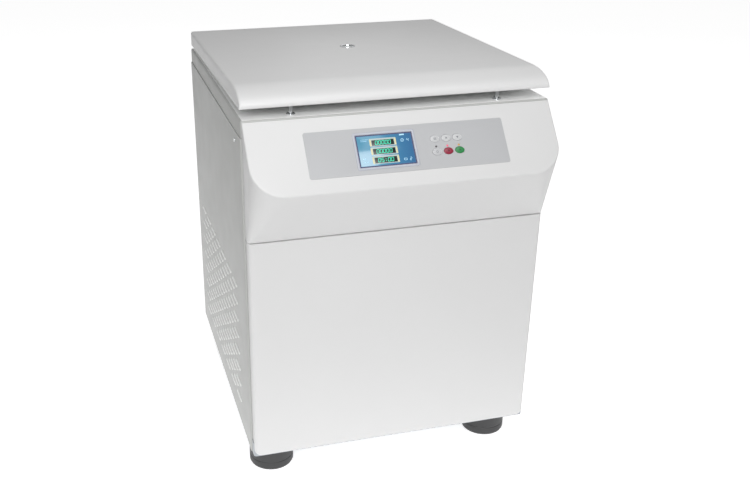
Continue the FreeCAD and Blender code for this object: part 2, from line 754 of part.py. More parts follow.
def make_locks():
    """Lid lock bodies under the deck, their sliding forks and the deck bushes."""
    housings = []
    bushes = []
    top = deck_top - sheet_metal
    for side_name, side in LEFT_AND_RIGHT:
        name = "Lock" + side_name.title()
        x = side * striker_side
        block = box(name + "Block", (x - 17, striker_y - 12, top - 44), (x + 17, striker_y + 12, top))
        shaft = cylinder(name + "Shaft", striker_radius + 2, (x, striker_y, top - 45), 46)
        channel = box(name + "Channel", (x - 18, striker_y - 7.5, top - 24.6),
                      (x + 18, striker_y + 7.5, top - 20.4))
        housings.append(cut(name + "Housing", block, [shaft, channel]))
        bush = turned(name + "Bush", [
            (striker_radius + 2, 0, 0), (striker_radius + 5.5, 0, 0),
            (striker_radius + 5.5, 2, 0.8), (striker_radius + 2, 2, 0)])
        bushes.append(place(bush, x, striker_y, deck_top))
        make_lock_fork(side_name, side, x, top)
    finished("lock_housings", group("LockHousings", housings))
    finished("lock_bushes", group("LockBushes", bushes))


def make_lock_fork(side_name, side, x, top):
    """Flat fork that slides inwards and straddles the groove of a lock pin."""
    name = "Fork" + side_name.title()
    near = x + side * (striker_radius + 3)
    far = near + side * 28
    x0, x1 = (near, far) if side > 0 else (far, near)
    blade = box(name + "Blade", (x0, striker_y - 7, top - 24), (x1, striker_y + 7, top - 21))
    mouth_end = near + side * 14
    m0, m1 = (near - 1, mouth_end) if side > 0 else (mouth_end, near + 1)
    mouth = box(name + "Mouth", (m0, striker_y - 3, top - 25), (m1, striker_y + 3, top - 20))
    finished("lock_fork_" + side_name, cut(name, blade, [mouth]))


# ---------------------------------------------------------------- lid

def on_lid(thing):
    """Put a part modelled round the hinge axis at the closed lid's slope."""
    return place(thing, 0, hinge_y, hinge_z, "x", -lid_tilt)


def lid_profile(inset):
    """Side profile of the lid, rounded down to its front edge."""
    front = -lid_back - lid_length
    back = -lid_back - inset
    low = lid_base if not inset else lid_base - 1
    crown = lid_base + lid_thick - inset
    return [
        (front + inset, low, 0), (back, low, 0), (back, crown, 5 if not inset else 2),
        (front + 80, crown, 150), (front + 21, crown - 7.5, 55),
        (front + inset, crown - 20, 11 if not inset else 8)]


def make_lid_shell():
    """Hollow lid cover with a bullnose front and the view port hole."""
    body = new_body("LidShell")
    outer = sketch_on(body, "YZ_Plane", "LidOuter", -lid_width / 2)
    outline(outer, lid_profile(0))
    pad(body, outer, lid_width)
    inner = sketch_on(body, "YZ_Plane", "LidInner", -lid_width / 2 + lid_wall)
    outline(inner, lid_profile(lid_wall))
    pocket(body, inner, lid_width - lid_wall * 2, backwards=True)
    port = sketch_on(body, "XY_Plane", "LidPort", lid_base + lid_thick + 1)
    circle(port, 0, rotor_y - hinge_y, port_radius - 4)
    pocket(body, port, 10)
    finished("lid_shell", on_lid(body))


def make_lid_liner():
    """Inner plate of the lid with a level plug that closes on the chamber seal."""
    inset = lid_wall + 0.3
    edge = lid_width / 2 - inset
    front = -lid_back - lid_length + inset
    plate = on_lid(box("LinerPlate", (-edge, front, lid_base + 0.2),
                       (edge, -lid_back - inset, lid_base + 3.2)))
    place_slope(plate, -edge, front, lid_base + 0.2)
    plug = cylinder("LinerPlug", bowl_radius + 22, (0, rotor_y, deck_top + 5.4), 14)
    port = cylinder("LinerPort", port_radius - 4, (0, rotor_y, deck_top), 40)
    finished("lid_liner", cut("LidLiner", joined("LinerSolid", [plate, plug]), [port]))


def place_slope(thing, x, y, z):
    """Place a box whose own corner is (x, y, z) in the lid's sloping frame."""
    down = sine(lid_tilt)
    along = cosine(lid_tilt)
    place(thing, x, hinge_y + y * along + z * down, hinge_z - y * down + z * along, "x", -lid_tilt)


def make_view_port():
    """Chrome ring on the lid and the sight glass down through it."""
    top = lid_base + lid_thick
    ring = turned("PortRing", [
        (port_radius - 5, top - 6, 0), (port_radius - 4.2, top - 6, 0), (port_radius - 4.2, top, 0),
        (port_radius, top, 0), (port_radius, top + 1.6, 1.2), (port_radius - 5, top + 1.6, 1)])
    middle = rotor_y - hinge_y
    finished("view_port_ring", on_lid(group("PortRingSet", [place(ring, 0, middle, 0)])))
    glass = turned("PortGlass", [
        (0, top - 5.5, 0), (port_radius - 5.2, top - 5.5, 0), (port_radius - 5.2, top, 0), (0, top, 0)])
    finished("view_port_glass", on_lid(group("PortGlassSet", [place(glass, 0, middle, 0)])))


def make_striker_pins():
    """Two grooved lock pins that hang from the lid into the deck."""
    pins = []
    groove = deck_top - sheet_metal - 20
    for side_name, side in LEFT_AND_RIGHT:
        pin = turned("Striker" + side_name.title(), [
            (0, deck_top - 36, 0), (2, deck_top - 36, 0), (striker_radius, deck_top - 32, 0),
            (striker_radius, groove - 5, 0), (2.2, groove - 5, 0), (2.2, groove, 0),
            (striker_radius, groove, 0), (striker_radius, deck_top + 20.2, 0), (0, deck_top + 20.2, 0)])
        pins.append(place(pin, side * striker_side, striker_y, 0))
    finished("striker_pins", group("StrikerPins", pins))


def make_hinges():
    """Deck brackets with their pins, and lid arms that also carry the spring studs."""
    brackets = []
    arms = []
    knuckle = 6
    pin = 3
    for side_name, side in LEFT_AND_RIGHT:
        name = "Hinge" + side_name.title()
        x = side * hinge_side
        leaf = box(name + "Leaf", (x - 25, hinge_y - 12, deck_top), (x + 25, hinge_y + 6, deck_top + 2))
        ends = []
        for start in (-25, 14):
            end = "{}{}".format(name, "Inner" if start < 0 else "Outer")
            ends.append(cylinder(end + "Knuckle", knuckle, (x + start, hinge_y, hinge_z), 11, "x"))
            ends.append(box(end + "Web", (x + start, hinge_y - 5, deck_top + 1),
                            (x + start + 11, hinge_y + 5, hinge_z)))
        rod = cylinder(name + "Pin", pin, (x - 25, hinge_y, hinge_z), 50, "x")
        brackets.append(joined(name + "Bracket", [leaf, rod] + ends))
        arms.append(make_lid_arm(name, side, x, knuckle - 1.3, pin + running_gap))
    finished("deck_hinge_brackets", group("DeckHingeBrackets", brackets))
    finished("lid_hinge_arms", group("LidHingeArms", arms))


def make_lid_arm(name, side, x, knuckle, bore):
    """One lid arm: knuckle, strap under the lid, and an ear with the spring stud."""
    top = lid_base
    sleeve = cylinder(name + "Sleeve", knuckle, (x - 13.5, 0, 0), 27, "x")
    strap = box(name + "Strap", (x - 13.5, -100, top - 3), (x + 13.5, 0, top))
    ear_x = side * (strut_side + 8)
    ear = box(name + "Ear", (ear_x - 1.5, -strut_arm_y - 9, -strut_arm_z - 8),
              (ear_x + 1.5, -strut_arm_y + 9, top))
    stud_start = ear_x - 3.5 if side > 0 else ear_x
    stud = cylinder(name + "Stud", 4, (stud_start, -strut_arm_y, -strut_arm_z), 3.5, "x")
    hole = cylinder(name + "Hole", bore, (x - 20, 0, 0), 40, "x")
    solid = joined(name + "ArmSolid", [sleeve, strap, ear, stud])
    return on_lid(cut(name + "Arm", solid, [hole]))


# ---------------------------------------------------------------- gas springs

def make_gas_springs():
    """A gas spring each side: body on a foot bracket, rod up to the lid arm's stud."""
    run = strut_arm_y - strut_foot_y
    rise = strut_foot_z - strut_arm_z
    lean = slope_angle(run, rise)
    length = distance(run, rise)
    foot_y = hinge_y - strut_foot_y
    foot_z = hinge_z - strut_foot_z
    feet = []
    for side_name, side in LEFT_AND_RIGHT:
        name = "Spring" + side_name.title()
        x = side * strut_side
        tube = joined(name + "TubeSolid", [
            cylinder(name + "Barrel", 11, (0, 0, 12), 130),
            box(name + "LowEyeStem", (-3.5, -4, 0), (3.5, 4, 14)),
            cylinder(name + "LowEye", 8, (-3.5, 0, 0), 7, "x")])
        tube = cut(name + "Tube", tube, [
            cylinder(name + "EyeHole", 4 + running_gap, (-5, 0, 0), 10, "x"),
            cylinder(name + "TubeBore", 5 + running_gap, (0, 0, 20), 130)])
        finished("gas_spring_body_" + side_name, place(tube, x, foot_y, foot_z, "x", lean))
        rod = joined(name + "Rod", [
            cylinder(name + "RodBar", 5, (0, 0, 30), length - 36),
            cylinder(name + "TopEye", 8, (-3.5, 0, length), 7, "x")])
        finished("gas_spring_rod_" + side_name, place(rod, x, foot_y, foot_z, "x", lean))
        feet.append(joined(name + "Foot", [
            box(name + "FootPlate", (x - 14, foot_y - 14, mid_level),
                (x + 14, foot_y + 14, mid_level + 3)),
            box(name + "FootEar", (x + 4, foot_y - 8, mid_level + 1), (x + 8, foot_y + 8, foot_z + 8)),
            cylinder(name + "FootPin", 4, (x - 4.5, foot_y, foot_z), 10, "x")]))
    finished("gas_spring_feet", group("SpringFeet", feet))


# ---------------------------------------------------------------- drive and rotor

def make_drive():
    """Hanging motor, its plate and rubber buffers, and the upright spindle."""
    motor_top = mid_level - 64
    plate = cylinder("MotorPlateDisc", 150, (0, rotor_y, motor_top), 12)
    hole = cylinder("MotorPlateHole", 30, (0, rotor_y, motor_top - 1), 14)
    finished("motor_plate", cut("MotorPlate", plate, [hole]))
    buffers = []
    for i in range(4):
        angle = math.radians(45 + 90 * i)
        x = 125 * math.cos(angle)
        y = rotor_y + 125 * math.sin(angle)
        buffers.append(cylinder("Buffer{}".format(i + 1), 18, (x, y, motor_top + 12), 46))
    finished("motor_buffers", group("MotorBuffers", buffers))
    case = turned("Motor", [
        (spindle_radius + running_gap, motor_top - 200, 0), (70, motor_top - 200, 8),
        (85, motor_top - 185, 6), (85, motor_top - 12, 4), (100, motor_top - 12, 0),
        (100, motor_top, 0), (spindle_radius + running_gap, motor_top, 0)])
    finished("motor", place(case, 0, rotor_y, 0))
    yoke_top = yoke_middle + yoke_thick / 2
    spindle = turned("Spindle", [
        (0, motor_top - 190, 0), (spindle_radius, motor_top - 190, 1), (spindle_radius, yoke_top + 18, 2),
        (0, yoke_top + 18, 0)])
    finished("drive_spindle", place(spindle, 0, rotor_y, 0))


def make_rotor():
    """Four-arm yoke with trunnion pins, held on the spindle by a knob."""
    low = yoke_middle - yoke_thick / 2
    body = new_body("Yoke")
    disc = sketch_on(body, "XY_Plane", "YokeDisc", low)
    circle(disc, 0, 0, yoke_radius)
    circle(disc, 0, 0, spindle_radius + running_gap)
    pad(body, disc, yoke_thick)
    for name, turn in (("East", 1), ("West", -1)):
        bay = sketch_on(body, "XY_Plane", "Bay" + name, low + yoke_thick)
        x0, x1 = (notch_start, yoke_radius + 10) if turn > 0 else (-yoke_radius - 10, -notch_start)
        rectangle(bay, x0, -notch_half, x1, notch_half)
        pocket(body, bay, yoke_thick)
        side_bay = sketch_on(body, "XY_Plane", "SideBay" + name, low + yoke_thick)
        rectangle(side_bay, -notch_half, x0, notch_half, x1)
        pocket(body, side_bay, yoke_thick)
    pins = []
    for i in range(4):
        name = "Trunnion{}".format(i + 1)
        pair = [cylinder(name + side_name.title(), trunnion_radius,
                         (trunnion_reach, side * notch_half - 6.75 + side * 0.75, yoke_middle), 13.5, "y")
                for side_name, side in LEFT_AND_RIGHT]
        pins.append(place(group(name + "Pair", pair), 0, 0, 0, "z", 90 * i))
    yoke = joined("YokeWithPins", [body] + pins)
    finished("rotor_yoke", place(yoke, 0, rotor_y, 0))
    top = yoke_middle + yoke_thick / 2
    bore = spindle_radius + running_gap
    knob = turned("RotorKnob", [
        (bore, top, 0), (30, top, 2), (30, top + 6, 1.5), (21, top + 8, 1),
        (21, top + 30, 4), (0, top + 30, 0), (0, top + 20, 0), (bore, top + 20, 0)])
    finished("rotor_knob", place(knob, 0, rotor_y, 0))


def make_bucket(index):
    """Square cup with rounded corners, hung by two ears that sit over the trunnions."""
    name = "Bucket{}".format(index + 1)
    half = bucket_width / 2
    body = new_body(name + "Cup")
    cup = sketch_on(body, "XY_Plane", name + "Outer", -bucket_drop)
    rectangle(cup, -half, -half, half, half, 16)
    pad(body, cup, bucket_drop + bucket_rise)
    inside = sketch_on(body, "XY_Plane", name + "Inner", -bucket_drop + bucket_wall * 2)
    rectangle(inside, bucket_wall - half, bucket_wall - half, half - bucket_wall, half - bucket_wall, 13)
    pocket(body, inside, bucket_drop + bucket_rise, backwards=True)
    ears = []
    grooves = []
    for side_name, side in LEFT_AND_RIGHT:
        start = half - 1 if side > 0 else -half - 7.5
        end = "{}{}".format(name, side_name.title())
        ears.append(box(end + "Ear", (-13, start, -16), (13, start + 8.5, 16)))
        groove_start = start + 1 if side > 0 else start - 1
        radius = trunnion_radius + running_gap
        grooves.append(cylinder(end + "Seat", radius, (0, groove_start, 0), 9, "y"))
        grooves.append(box(end + "Throat", (-radius, groove_start, -20), (radius, groove_start + 9, 0)))
    hung = cut(name, joined(name + "Solid", [body] + ears), grooves)
    spin = 90 * index
    x = trunnion_reach * round(math.cos(math.radians(spin)))
    y = rotor_y + trunnion_reach * round(math.sin(math.radians(spin)))
    finished("bucket_{}".format(index + 1), place(hung, x, y, yoke_middle, "z", spin))


# ---------------------------------------------------------------- cooling and electrics

def make_compressor():
    """Hermetic compressor can on a base with its discharge and suction stubs."""
    can = turned("CompressorCan", [
        (0, 0, 0), (84, 0, 0), (84, 6, 2), (74, 8, 0), (74, 150, 40), (0, 150, 0)])
    stubs = [cylinder("CompressorStub{}".format(i + 1), 5, (x, 0, 140), 40)
             for i, x in enumerate((-30, 30))]
    whole = joined("Compressor", [can] + stubs)
    finished("compressor", place(whole, -(cab_width * 0.32), cab_back - 140, foot_height + 4))


def make_condenser():
    """Finned condenser block and the framed fan that pulls air through it."""
    half = 120
    x0 = fan_side - half
    x1 = fan_side + half
    z0 = fan_level - half
    z1 = fan_level + half
    back = cab_back - 14
    fins = [box("CondenserHeader{}".format(i + 1), (x, back - 40, z0), (x + 8, back, z1))
            for i, x in enumerate((x0, x1 - 8))]
    fins += [box("CondenserFin{}".format(i + 1), (x0 + 4, back - 38, z0 + 6 + 12 * i),
                 (x1 - 4, back - 2, z0 + 9 + 12 * i)) for i in range(20)]
    finished("condenser", joined("Condenser", fins))
    front = back - 72
    frame = box("FanFrameBlock", (x0, front, z0), (x1, front + 30, z1))
    opening = cylinder("FanFrameOpening", 106, (fan_side, front - 1, fan_level), 32, "y")
    bars = [box("FanBarUpright", (fan_side - 5, front - 4, z0 + 4), (fan_side + 5, front, z1 - 4)),
            box("FanBarLevel", (x0 + 4, front - 4, fan_level - 5), (x1 - 4, front, fan_level + 5))]
    hub = cylinder("FanMotorCan", 27, (fan_side, front - 30, fan_level), 30, "y")
    shaft = cylinder("FanShaft", 4, (fan_side, front - 2, fan_level), 28, "y")
    ring = cut("FanFrameRing", frame, [opening])
    finished("fan_frame", joined("FanFrame", [ring, hub, shaft] + bars))
    make_fan(front)


def make_fan(front):
    """Five pitched blades on a hub that runs on the fan motor's shaft."""
    hub = cylinder("FanHub", 24, (0, 4, 0), 20, "y")
    blades = []
    for i in range(5):
        name = "FanBlade{}".format(i + 1)
        blade = box(name + "Sheet", (-22, -1.25, 20), (22, 1.25, 99))
        place(blade, -22 * math.cos(math.radians(25)), 14 - 22 * math.sin(math.radians(25)), 20,
              "z", 25)
        blades.append(place(group(name, [blade]), 0, 0, 0, "y", 72 * i))
    bore = cylinder("FanBore", 4 + running_gap, (0, 0, 0), 40, "y")
    fan = cut("Fan", joined("FanSolid", [hub] + blades), [bore])
    finished("condenser_fan", place(fan, fan_side, front, fan_level))


def make_inverter():
    """Motor drive box with cooling fins, on the base pan at the front."""
    case = box("InverterCase", (-270, cab_front + 40, foot_height + 4), (-90, cab_front + 170, 330))
    fins = [box("InverterFin{}".format(i + 1), (-262 + 16 * i, cab_front + 169, foot_height + 14),
                (-258 + 16 * i, cab_front + 190, 320)) for i in range(11)]
    finished("motor_inverter", joined("Inverter", [case] + fins))


def make_power_inlet():
    """Flush mains inlet with its socket recess, and the rocker switch beside it."""
    face = cab_back - 1
    axle_radius = 1.5
    axle_reach = 11
    body = box("InletBody", (-229, cab_back - 30, 146), (-141, cab_back - 2, 174))
    rim = box("InletRim", (-235, cab_back - 3, 140), (-135, face, 180))
    recess = box("InletRecess", (-222, cab_back - 20, 149), (-190, cab_back, 171))
    window = box("InletWindow", (-172, cab_back - 16, 147.5), (-154, cab_back, 172.5))
    axle_start = (-163 - axle_reach, cab_back - 5, 160)
    seat = cylinder("InletAxleSeat", axle_radius + running_gap, axle_start, axle_reach * 2, "x")
    shell = cut("InletShell", joined("InletSolid", [body, rim]), [recess, window, seat])
    blades = [box("InletBlade{}".format(i + 1),
                  (x - 1, cab_back - 21, z - 2.5), (x + 1, cab_back - 6, z + 2.5))
              for i, (x, z) in enumerate(((-213, 158), (-199, 158), (-206, 164)))]
    finished("power_inlet", joined("PowerInlet", [shell] + blades))
    rocker = new_body("Rocker")
    side = sketch_on(rocker, "YZ_Plane", "RockerSide", -8.5)
    outline(side, [(-5, -11, 1), (3.6, -11, 1), (2.2, 0, 30), (3.6, 11, 1), (-5, 11, 1)])
    pad(rocker, side, 17)
    axle = cylinder("RockerAxle", axle_radius, (0.2 - axle_reach, 0, 0), (axle_reach - 0.2) * 2, "x")
    switch = joined("RockerWithAxle", [rocker, axle])
    finished("power_rocker", place(switch, -163, cab_back - 5, 160))


def make_panel_screws():
    """Round-headed screws of the side and rear panels."""
    screws = []
    screw_y = cab_front + screw_back
    screw_z = side_top - screw_drop
    for side_name, side in LEFT_AND_RIGHT:
        start = half_width - 6 if side > 0 else -half_width - 1.2
        name = "Screw" + side_name.title()
        head_start = half_width if side > 0 else -half_width - 1.2
        screws.append(joined(name, [
            cylinder(name + "Shank", screw_radius, (start, screw_y, screw_z), 7.2, "x"),
            cylinder(name + "Head", 4, (head_start, screw_y, screw_z), 1.2, "x")]))
        for row, z in (("Low", foot_height + 60), ("High", side_top - 40)):
            screws.append(cylinder(name + row, 4, (side * 285, cab_back - 3, z), 2, "y"))
    finished("panel_screws", group("PanelScrews", screws))


# ---------------------------------------------------------------- build and write

def check_and_write():
    """Stop on any failed object or bad shape, then write one file for each sub-part."""
    doc.recompute()
    failed = [thing.Name for thing in doc.Objects
              if "Invalid" in thing.State or "Error" in thing.State]
    if failed:
        raise RuntimeError("failed objects: {}".format(", ".join(failed)))
    os.makedirs("parts", exist_ok=True)
    for thing in parts:
        shape = thing.Shape
        if shape.isNull() or not shape.isValid() or not shape.Solids:
            raise RuntimeError("{} has no valid shape".format(thing.Label))
        shape.exportStep("parts/{}.step".format(thing.Label))
        print("{:24s} solids {:2d} volume {:12.1f}".format(
            thing.Label, len(shape.Solids), shape.Volume))


make_base_pan()
make_corner_posts()
make_mid_deck()
make_feet()
for panel_side in LEFT_AND_RIGHT:
    make_side_panel(*panel_side)
make_rear_panel()
make_lower_front_panel()
make_console_housing()
make_control_overlay()
make_display()
make_keys()
make_status_lamps()
make_control_board()
make_top_deck()
make_chamber()
make_locks()
make_lid_shell()
make_lid_liner()
make_view_port()
make_striker_pins()
make_hinges()
make_gas_springs()
make_drive()
make_rotor()
for bucket_index in range(4):
    make_bucket(bucket_index)
make_compressor()
make_condenser()
make_inverter()
make_power_inlet()
make_panel_screws()
check_and_write()
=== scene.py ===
import json
import math

import bmesh
import bpy
from mathutils import Matrix, Vector


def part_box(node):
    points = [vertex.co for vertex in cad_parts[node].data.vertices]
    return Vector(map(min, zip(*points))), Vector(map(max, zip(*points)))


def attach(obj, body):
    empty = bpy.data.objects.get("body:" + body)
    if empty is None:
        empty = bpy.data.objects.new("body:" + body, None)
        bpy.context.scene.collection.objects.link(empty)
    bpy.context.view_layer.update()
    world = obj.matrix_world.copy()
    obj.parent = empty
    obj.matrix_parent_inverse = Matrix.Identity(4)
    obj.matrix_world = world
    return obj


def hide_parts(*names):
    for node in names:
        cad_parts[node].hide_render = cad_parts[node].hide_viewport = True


# Looks of the floor-standing laboratory centrifuge. Shapes are built in
# millimetres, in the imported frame: X to the right seen from the front, Y to
# the back, Z up, with the floor at zero.

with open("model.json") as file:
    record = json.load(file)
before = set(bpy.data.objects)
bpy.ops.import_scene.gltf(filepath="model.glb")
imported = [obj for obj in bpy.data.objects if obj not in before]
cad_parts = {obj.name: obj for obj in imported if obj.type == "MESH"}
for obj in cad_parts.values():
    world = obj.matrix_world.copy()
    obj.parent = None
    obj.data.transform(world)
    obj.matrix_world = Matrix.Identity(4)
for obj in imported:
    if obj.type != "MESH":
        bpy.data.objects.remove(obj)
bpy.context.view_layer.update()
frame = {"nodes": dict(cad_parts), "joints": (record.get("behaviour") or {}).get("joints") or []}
nodes = frame["nodes"]
joints = {joint["name"]: joint for joint in frame["joints"]}

MM = 0.001
SIDES = (("left", -1), ("right", 1))
FLAT = 0.99995
SHARP = math.radians(38)

# Cabinet: the front covers are narrower than the cabinet by SIDE_STEP on each
# side, and the louvred sheets and the deck's skirt are set in from its faces.
# The first louvre's middle is given from the front and from the panel's foot.
SIDE_STEP = 5
SHEET_STEP = 1.1
DECK_STEP = 3
FLANGE = 9
LOUVRE_RISE = 2.1
LOUVRE_SIZE = (50, 5)
LOUVRE_PITCH = (70.2, 39.8)
LOUVRE_FIRST = (121, 66)
LOUVRE_LINES = 15
EXHAUST_SIZE = (90, 6)
EXHAUST_X = 60
EXHAUST_PITCH = 20
EXHAUST_DROP = 93
EXHAUST_LINES = 10
INLET_OPENING = ((-231, 144), (-139, 176))
FRONT_ROUND = 8
FRONT_CORNER = 16
MOUTH_RADIUS = 226
LOCK_X = 207
LOCK_DEPTH = 25.2
LOCK_HOLE = 6
SLOT_X = 248
SLOT_SIZE = (28, 62)
FOOT_DEPTH = 68.3
FOOT_INSETS = (58, 72)
FOOT_RADIUS = 48
FOOT_HEIGHT = 71.6
SCREW_RISE = 1.15
REAR_SCREW_X = 285
REAR_SCREW_RISE = 1.9

# Console: a sloping face, with places measured down it from its top edge.
PLATE_TILT = 39.6
PLATE_LENGTH = 153
PLATE_CORNER = 65
PLATE_GAP = 1.5
COVER_WALL = 3
OVERLAY_DROP = 77.75
OVERLAY_SIZE = (393, 91.5)
SCREEN = (-44, 111, 64)
BEZEL_WIDTH = 5
READOUT_SIZE = (52, 15.6)
READOUT_RIGHT = 52
READOUT_DOWN = (16, 33.2, 50.6)
KEY_SIZE = (18.5, 13.4)
KEY_FIRST = 54.5
KEY_PITCH = 22.6
KEY_ROWS = (64.6, 90.6)
KEY_PLAY = 0.45
KEY_TOP = 1.8
LAMP_DROP = 80
LAMP_HOLE = 2.1

# Display layers, as heights above the console face.
MARK_LAYER = (0.47, 0.52)
FIELD_LAYER = (0.53, 0.56)
DIGIT_FOOT = 0.57
INK = 0.06

# Lid, in the hinge's frame: Y to the back, Z up.
LID_TILT = 0.9
LID_HALF = 307.2
LID_ROUND = 4.5
LID_WALL = 3
LID_BACK = -8
LID_FRONT = -641
LID_LOW = 3.9
LID_TOP = 35.9
LID_BACK_ROUND = 4
NOSE_LONG = 75
NOSE_HIGH = 28
PORT_HOLE = 13


def span(node):
    """Lowest and highest corner of a CAD node, in millimetres."""
    low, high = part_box(node)
    return low / MM, high / MM


def shift(x, y, z):
    return Matrix.Translation((x, y, z))


deck_low, deck_high = span("top_deck")
half_width = deck_high.x
cab_front = deck_low.y
cab_back = deck_high.y
deck_top = deck_high.z
side_top = deck_low.z
front_low, front_high = span("lower_front_panel")
hinge = Vector(joints["lid_hinge"]["pos_m"]) / MM
rotor_y = joints["rotor_spin"]["pos_m"][1] / MM
console_place = (shift(0, cab_front, deck_top)
                 @ Matrix.Rotation(math.radians(90 - PLATE_TILT), 4, "X"))
lid_place = Matrix.Translation(hinge) @ Matrix.Rotation(math.radians(-LID_TILT), 4, "X")


# ---------- materials

def linear(level):
    """Linear light of an sRGB level from 0 to 255."""
    value = level / 255
    return value / 12.92 if value <= 0.04045 else ((value + 0.055) / 1.055) ** 2.4


def colour(red, green, blue):
    return (linear(red), linear(green), linear(blue), 1)


def link(tree, source, target):
    tree.links.new(source, target)


def add_node(tree, kind):
    return tree.nodes.new("ShaderNode" + kind)


def put(node, socket, value):
    """Set a constant on a shader's socket."""
    node.inputs[socket].default_value = value


def noise(tree, coordinates, scale, detail=2):
    """A noise texture in object space; scale is in waves per metre."""
    texture = add_node(tree, "TexNoise")
    put(texture, "Scale", scale)
    put(texture, "Detail", detail)
    link(tree, coordinates, texture.inputs["Vector"])
    return texture.outputs["Fac"]


def spread(tree, source, low, high):
    """Map a texture's middle range onto low to high."""
    ramp = add_node(tree, "MapRange")
    put(ramp, "From Min", 0.3)
    put(ramp, "From Max", 0.7)
    put(ramp, "To Min", low)
    put(ramp, "To Max", high)
    link(tree, source, ramp.inputs["Value"])
    return ramp.outputs["Result"]


def finish_of(name, tone, rough, metal=0, cloud=0.03, patches=4, grain=900, relief=0.02,
              coat=0, stretch=(1, 1, 1), glow=0, clear=0):
    """A material with slow colour clouds, a fine surface grain and uneven gloss."""
    made = bpy.data.materials.new(name)
    made.use_nodes = True
    tree = made.node_tree
    shader = tree.nodes["Principled BSDF"]
    place = add_node(tree, "TexCoord")
    scaled = add_node(tree, "Mapping")
    put(scaled, "Scale", stretch)
    link(tree, place.outputs["Object"], scaled.inputs["Vector"])
    where = scaled.outputs["Vector"]
    base = colour(*tone)
    mix = add_node(tree, "Mix")
    mix.data_type = "RGBA"
    put(mix, "A", [c * (1 - cloud) for c in base[:3]] + [1])
    put(mix, "B", [min(c * (1 + cloud), 1) for c in base[:3]] + [1])
    link(tree, noise(tree, where, patches), mix.inputs["Factor"])
    link(tree, mix.outputs["Result"], shader.inputs["Base Color"])
    link(tree, spread(tree, noise(tree, where, patches * 5), rough * 0.92, rough * 1.08),
         shader.inputs["Roughness"])
    bump = add_node(tree, "Bump")
    put(bump, "Strength", min(relief * 10, 1))
    put(bump, "Distance", 0.0002)
    link(tree, noise(tree, where, grain, 3), bump.inputs["Height"])
    link(tree, bump.outputs["Normal"], shader.inputs["Normal"])
    put(shader, "Metallic", metal)
    put(shader, "Coat Weight", coat)
    put(shader, "Coat Roughness", 0.08)
    if glow:
        put(shader, "Emission Color", base)
        put(shader, "Emission Strength", glow)
    if clear:
        put(shader, "Transmission Weight", clear)
        put(shader, "IOR", 1.49)
    return made


def smooth(name, tone, rough, **more):
    """A finish with hardly any surface grain."""
    return finish_of(name, tone, rough, relief=0.004, **more)


def screen_glow():
    """Backlit blue liquid crystal: light on the left, deeper to the right, with faint cells."""
    made = finish_of("screen_blue", (70, 150, 205), 0.16, grain=1500, relief=0.004, coat=0.5)
    tree = made.node_tree
    shader = tree.nodes["Principled BSDF"]
    place = add_node(tree, "TexCoord")
    parts = add_node(tree, "SeparateXYZ")
    link(tree, place.outputs["Generated"], parts.inputs["Vector"])
    ramp = add_node(tree, "ValToRGB")
    stops = ((0.0, (96, 174, 206)), (0.32, (84, 168, 205)), (0.66, (74, 148, 195)), (1.0, (62, 124, 178)))
    ramp.color_ramp.elements[0].position = stops[0][0]
    ramp.color_ramp.elements[0].color = colour(*stops[0][1])
    ramp.color_ramp.elements[1].position = stops[-1][0]
    ramp.color_ramp.elements[1].color = colour(*stops[-1][1])
    for position, tone in stops[1:-1]:
        ramp.color_ramp.elements.new(position).color = colour(*tone)
    link(tree, parts.outputs["X"], ramp.inputs["Fac"])
    link(tree, ramp.outputs["Color"], shader.inputs["Emission Color"])
    put(shader, "Emission Strength", 0.7)
    put(shader, "Base Color", colour(14, 36, 50))
    for joined_to_base in list(shader.inputs["Base Color"].links):
        tree.links.remove(joined_to_base)
    return made


# Grey of the side, rear and deck steel: darkened below the white of the front and lid, as painted shade of
# the faces turned from the light.
SHADED_STEEL_PAINT = finish_of("steel_grey_painted_shade", (176, 177, 175), 0.42, relief=0.03, grain=700)
# Lighter grey of the louvre hoods: a painted highlight where the pressed hoods catch the light, though
# they are the same sheet as the panel.
LOUVRE_HIGHLIGHT = finish_of("louvre_painted_highlight", (236, 237, 235), 0.38, grain=700)
# A brighter white than the lid and the front: the deck's white paint, pushed up as painted light against
# the shade under the lid.
DECK_WHITE_PAINTED_LIGHT = finish_of("deck_white_painted_light", (248, 248, 247), 0.4, grain=700)
FRONT = finish_of("front_white", (208, 208, 208), 0.36, grain=600, cloud=0.012)
LID = finish_of("lid_white", (213, 213, 213), 0.36, grain=600, cloud=0.012)
FILM = finish_of("overlay_silver", (176, 177, 179), 0.46, grain=2400, cloud=0.02)
BEZEL = smooth("bezel_pale_blue", (176, 179, 188), 0.22, coat=0.4)
NAVY = smooth("screen_border", (30, 40, 92), 0.2, coat=0.5)
SCREEN_BLUE = screen_glow()
READOUT_DARK = smooth("readout_dark", (26, 36, 36), 0.3)
READOUT_FRAME = smooth("readout_frame", (172, 188, 186), 0.4, glow=0.1)
READOUT_END = smooth("readout_end", (206, 198, 150), 0.4, glow=0.12)
DIGIT = smooth("digit_green", (60, 212, 172), 0.3, glow=0.8)
MARK = smooth("screen_mark", (160, 204, 226), 0.3, glow=0.3)
KEY_SILVER = finish_of("key_silver", (188, 189, 190), 0.3, relief=0.01, coat=0.3)
KEY_GREY = finish_of("key_pale_grey", (180, 181, 183), 0.3, relief=0.01, coat=0.3)
KEY_RIM = finish_of("key_rim", (206, 207, 209), 0.26, relief=0.01)
KEY_RED = finish_of("key_red", (140, 30, 56), 0.3, relief=0.01, coat=0.4)
KEY_GREEN = finish_of("key_green", (38, 126, 68), 0.3, relief=0.01, coat=0.4)
KEY_INK = smooth("key_ink", (108, 110, 116), 0.5)
KEY_RED_INK = smooth("key_red_ink", (96, 22, 40), 0.5)
KEY_GREEN_INK = smooth("key_green_ink", (24, 88, 48), 0.5)
LAMP_DARK = smooth("lamp_dark", (58, 54, 58), 0.2, coat=0.6)
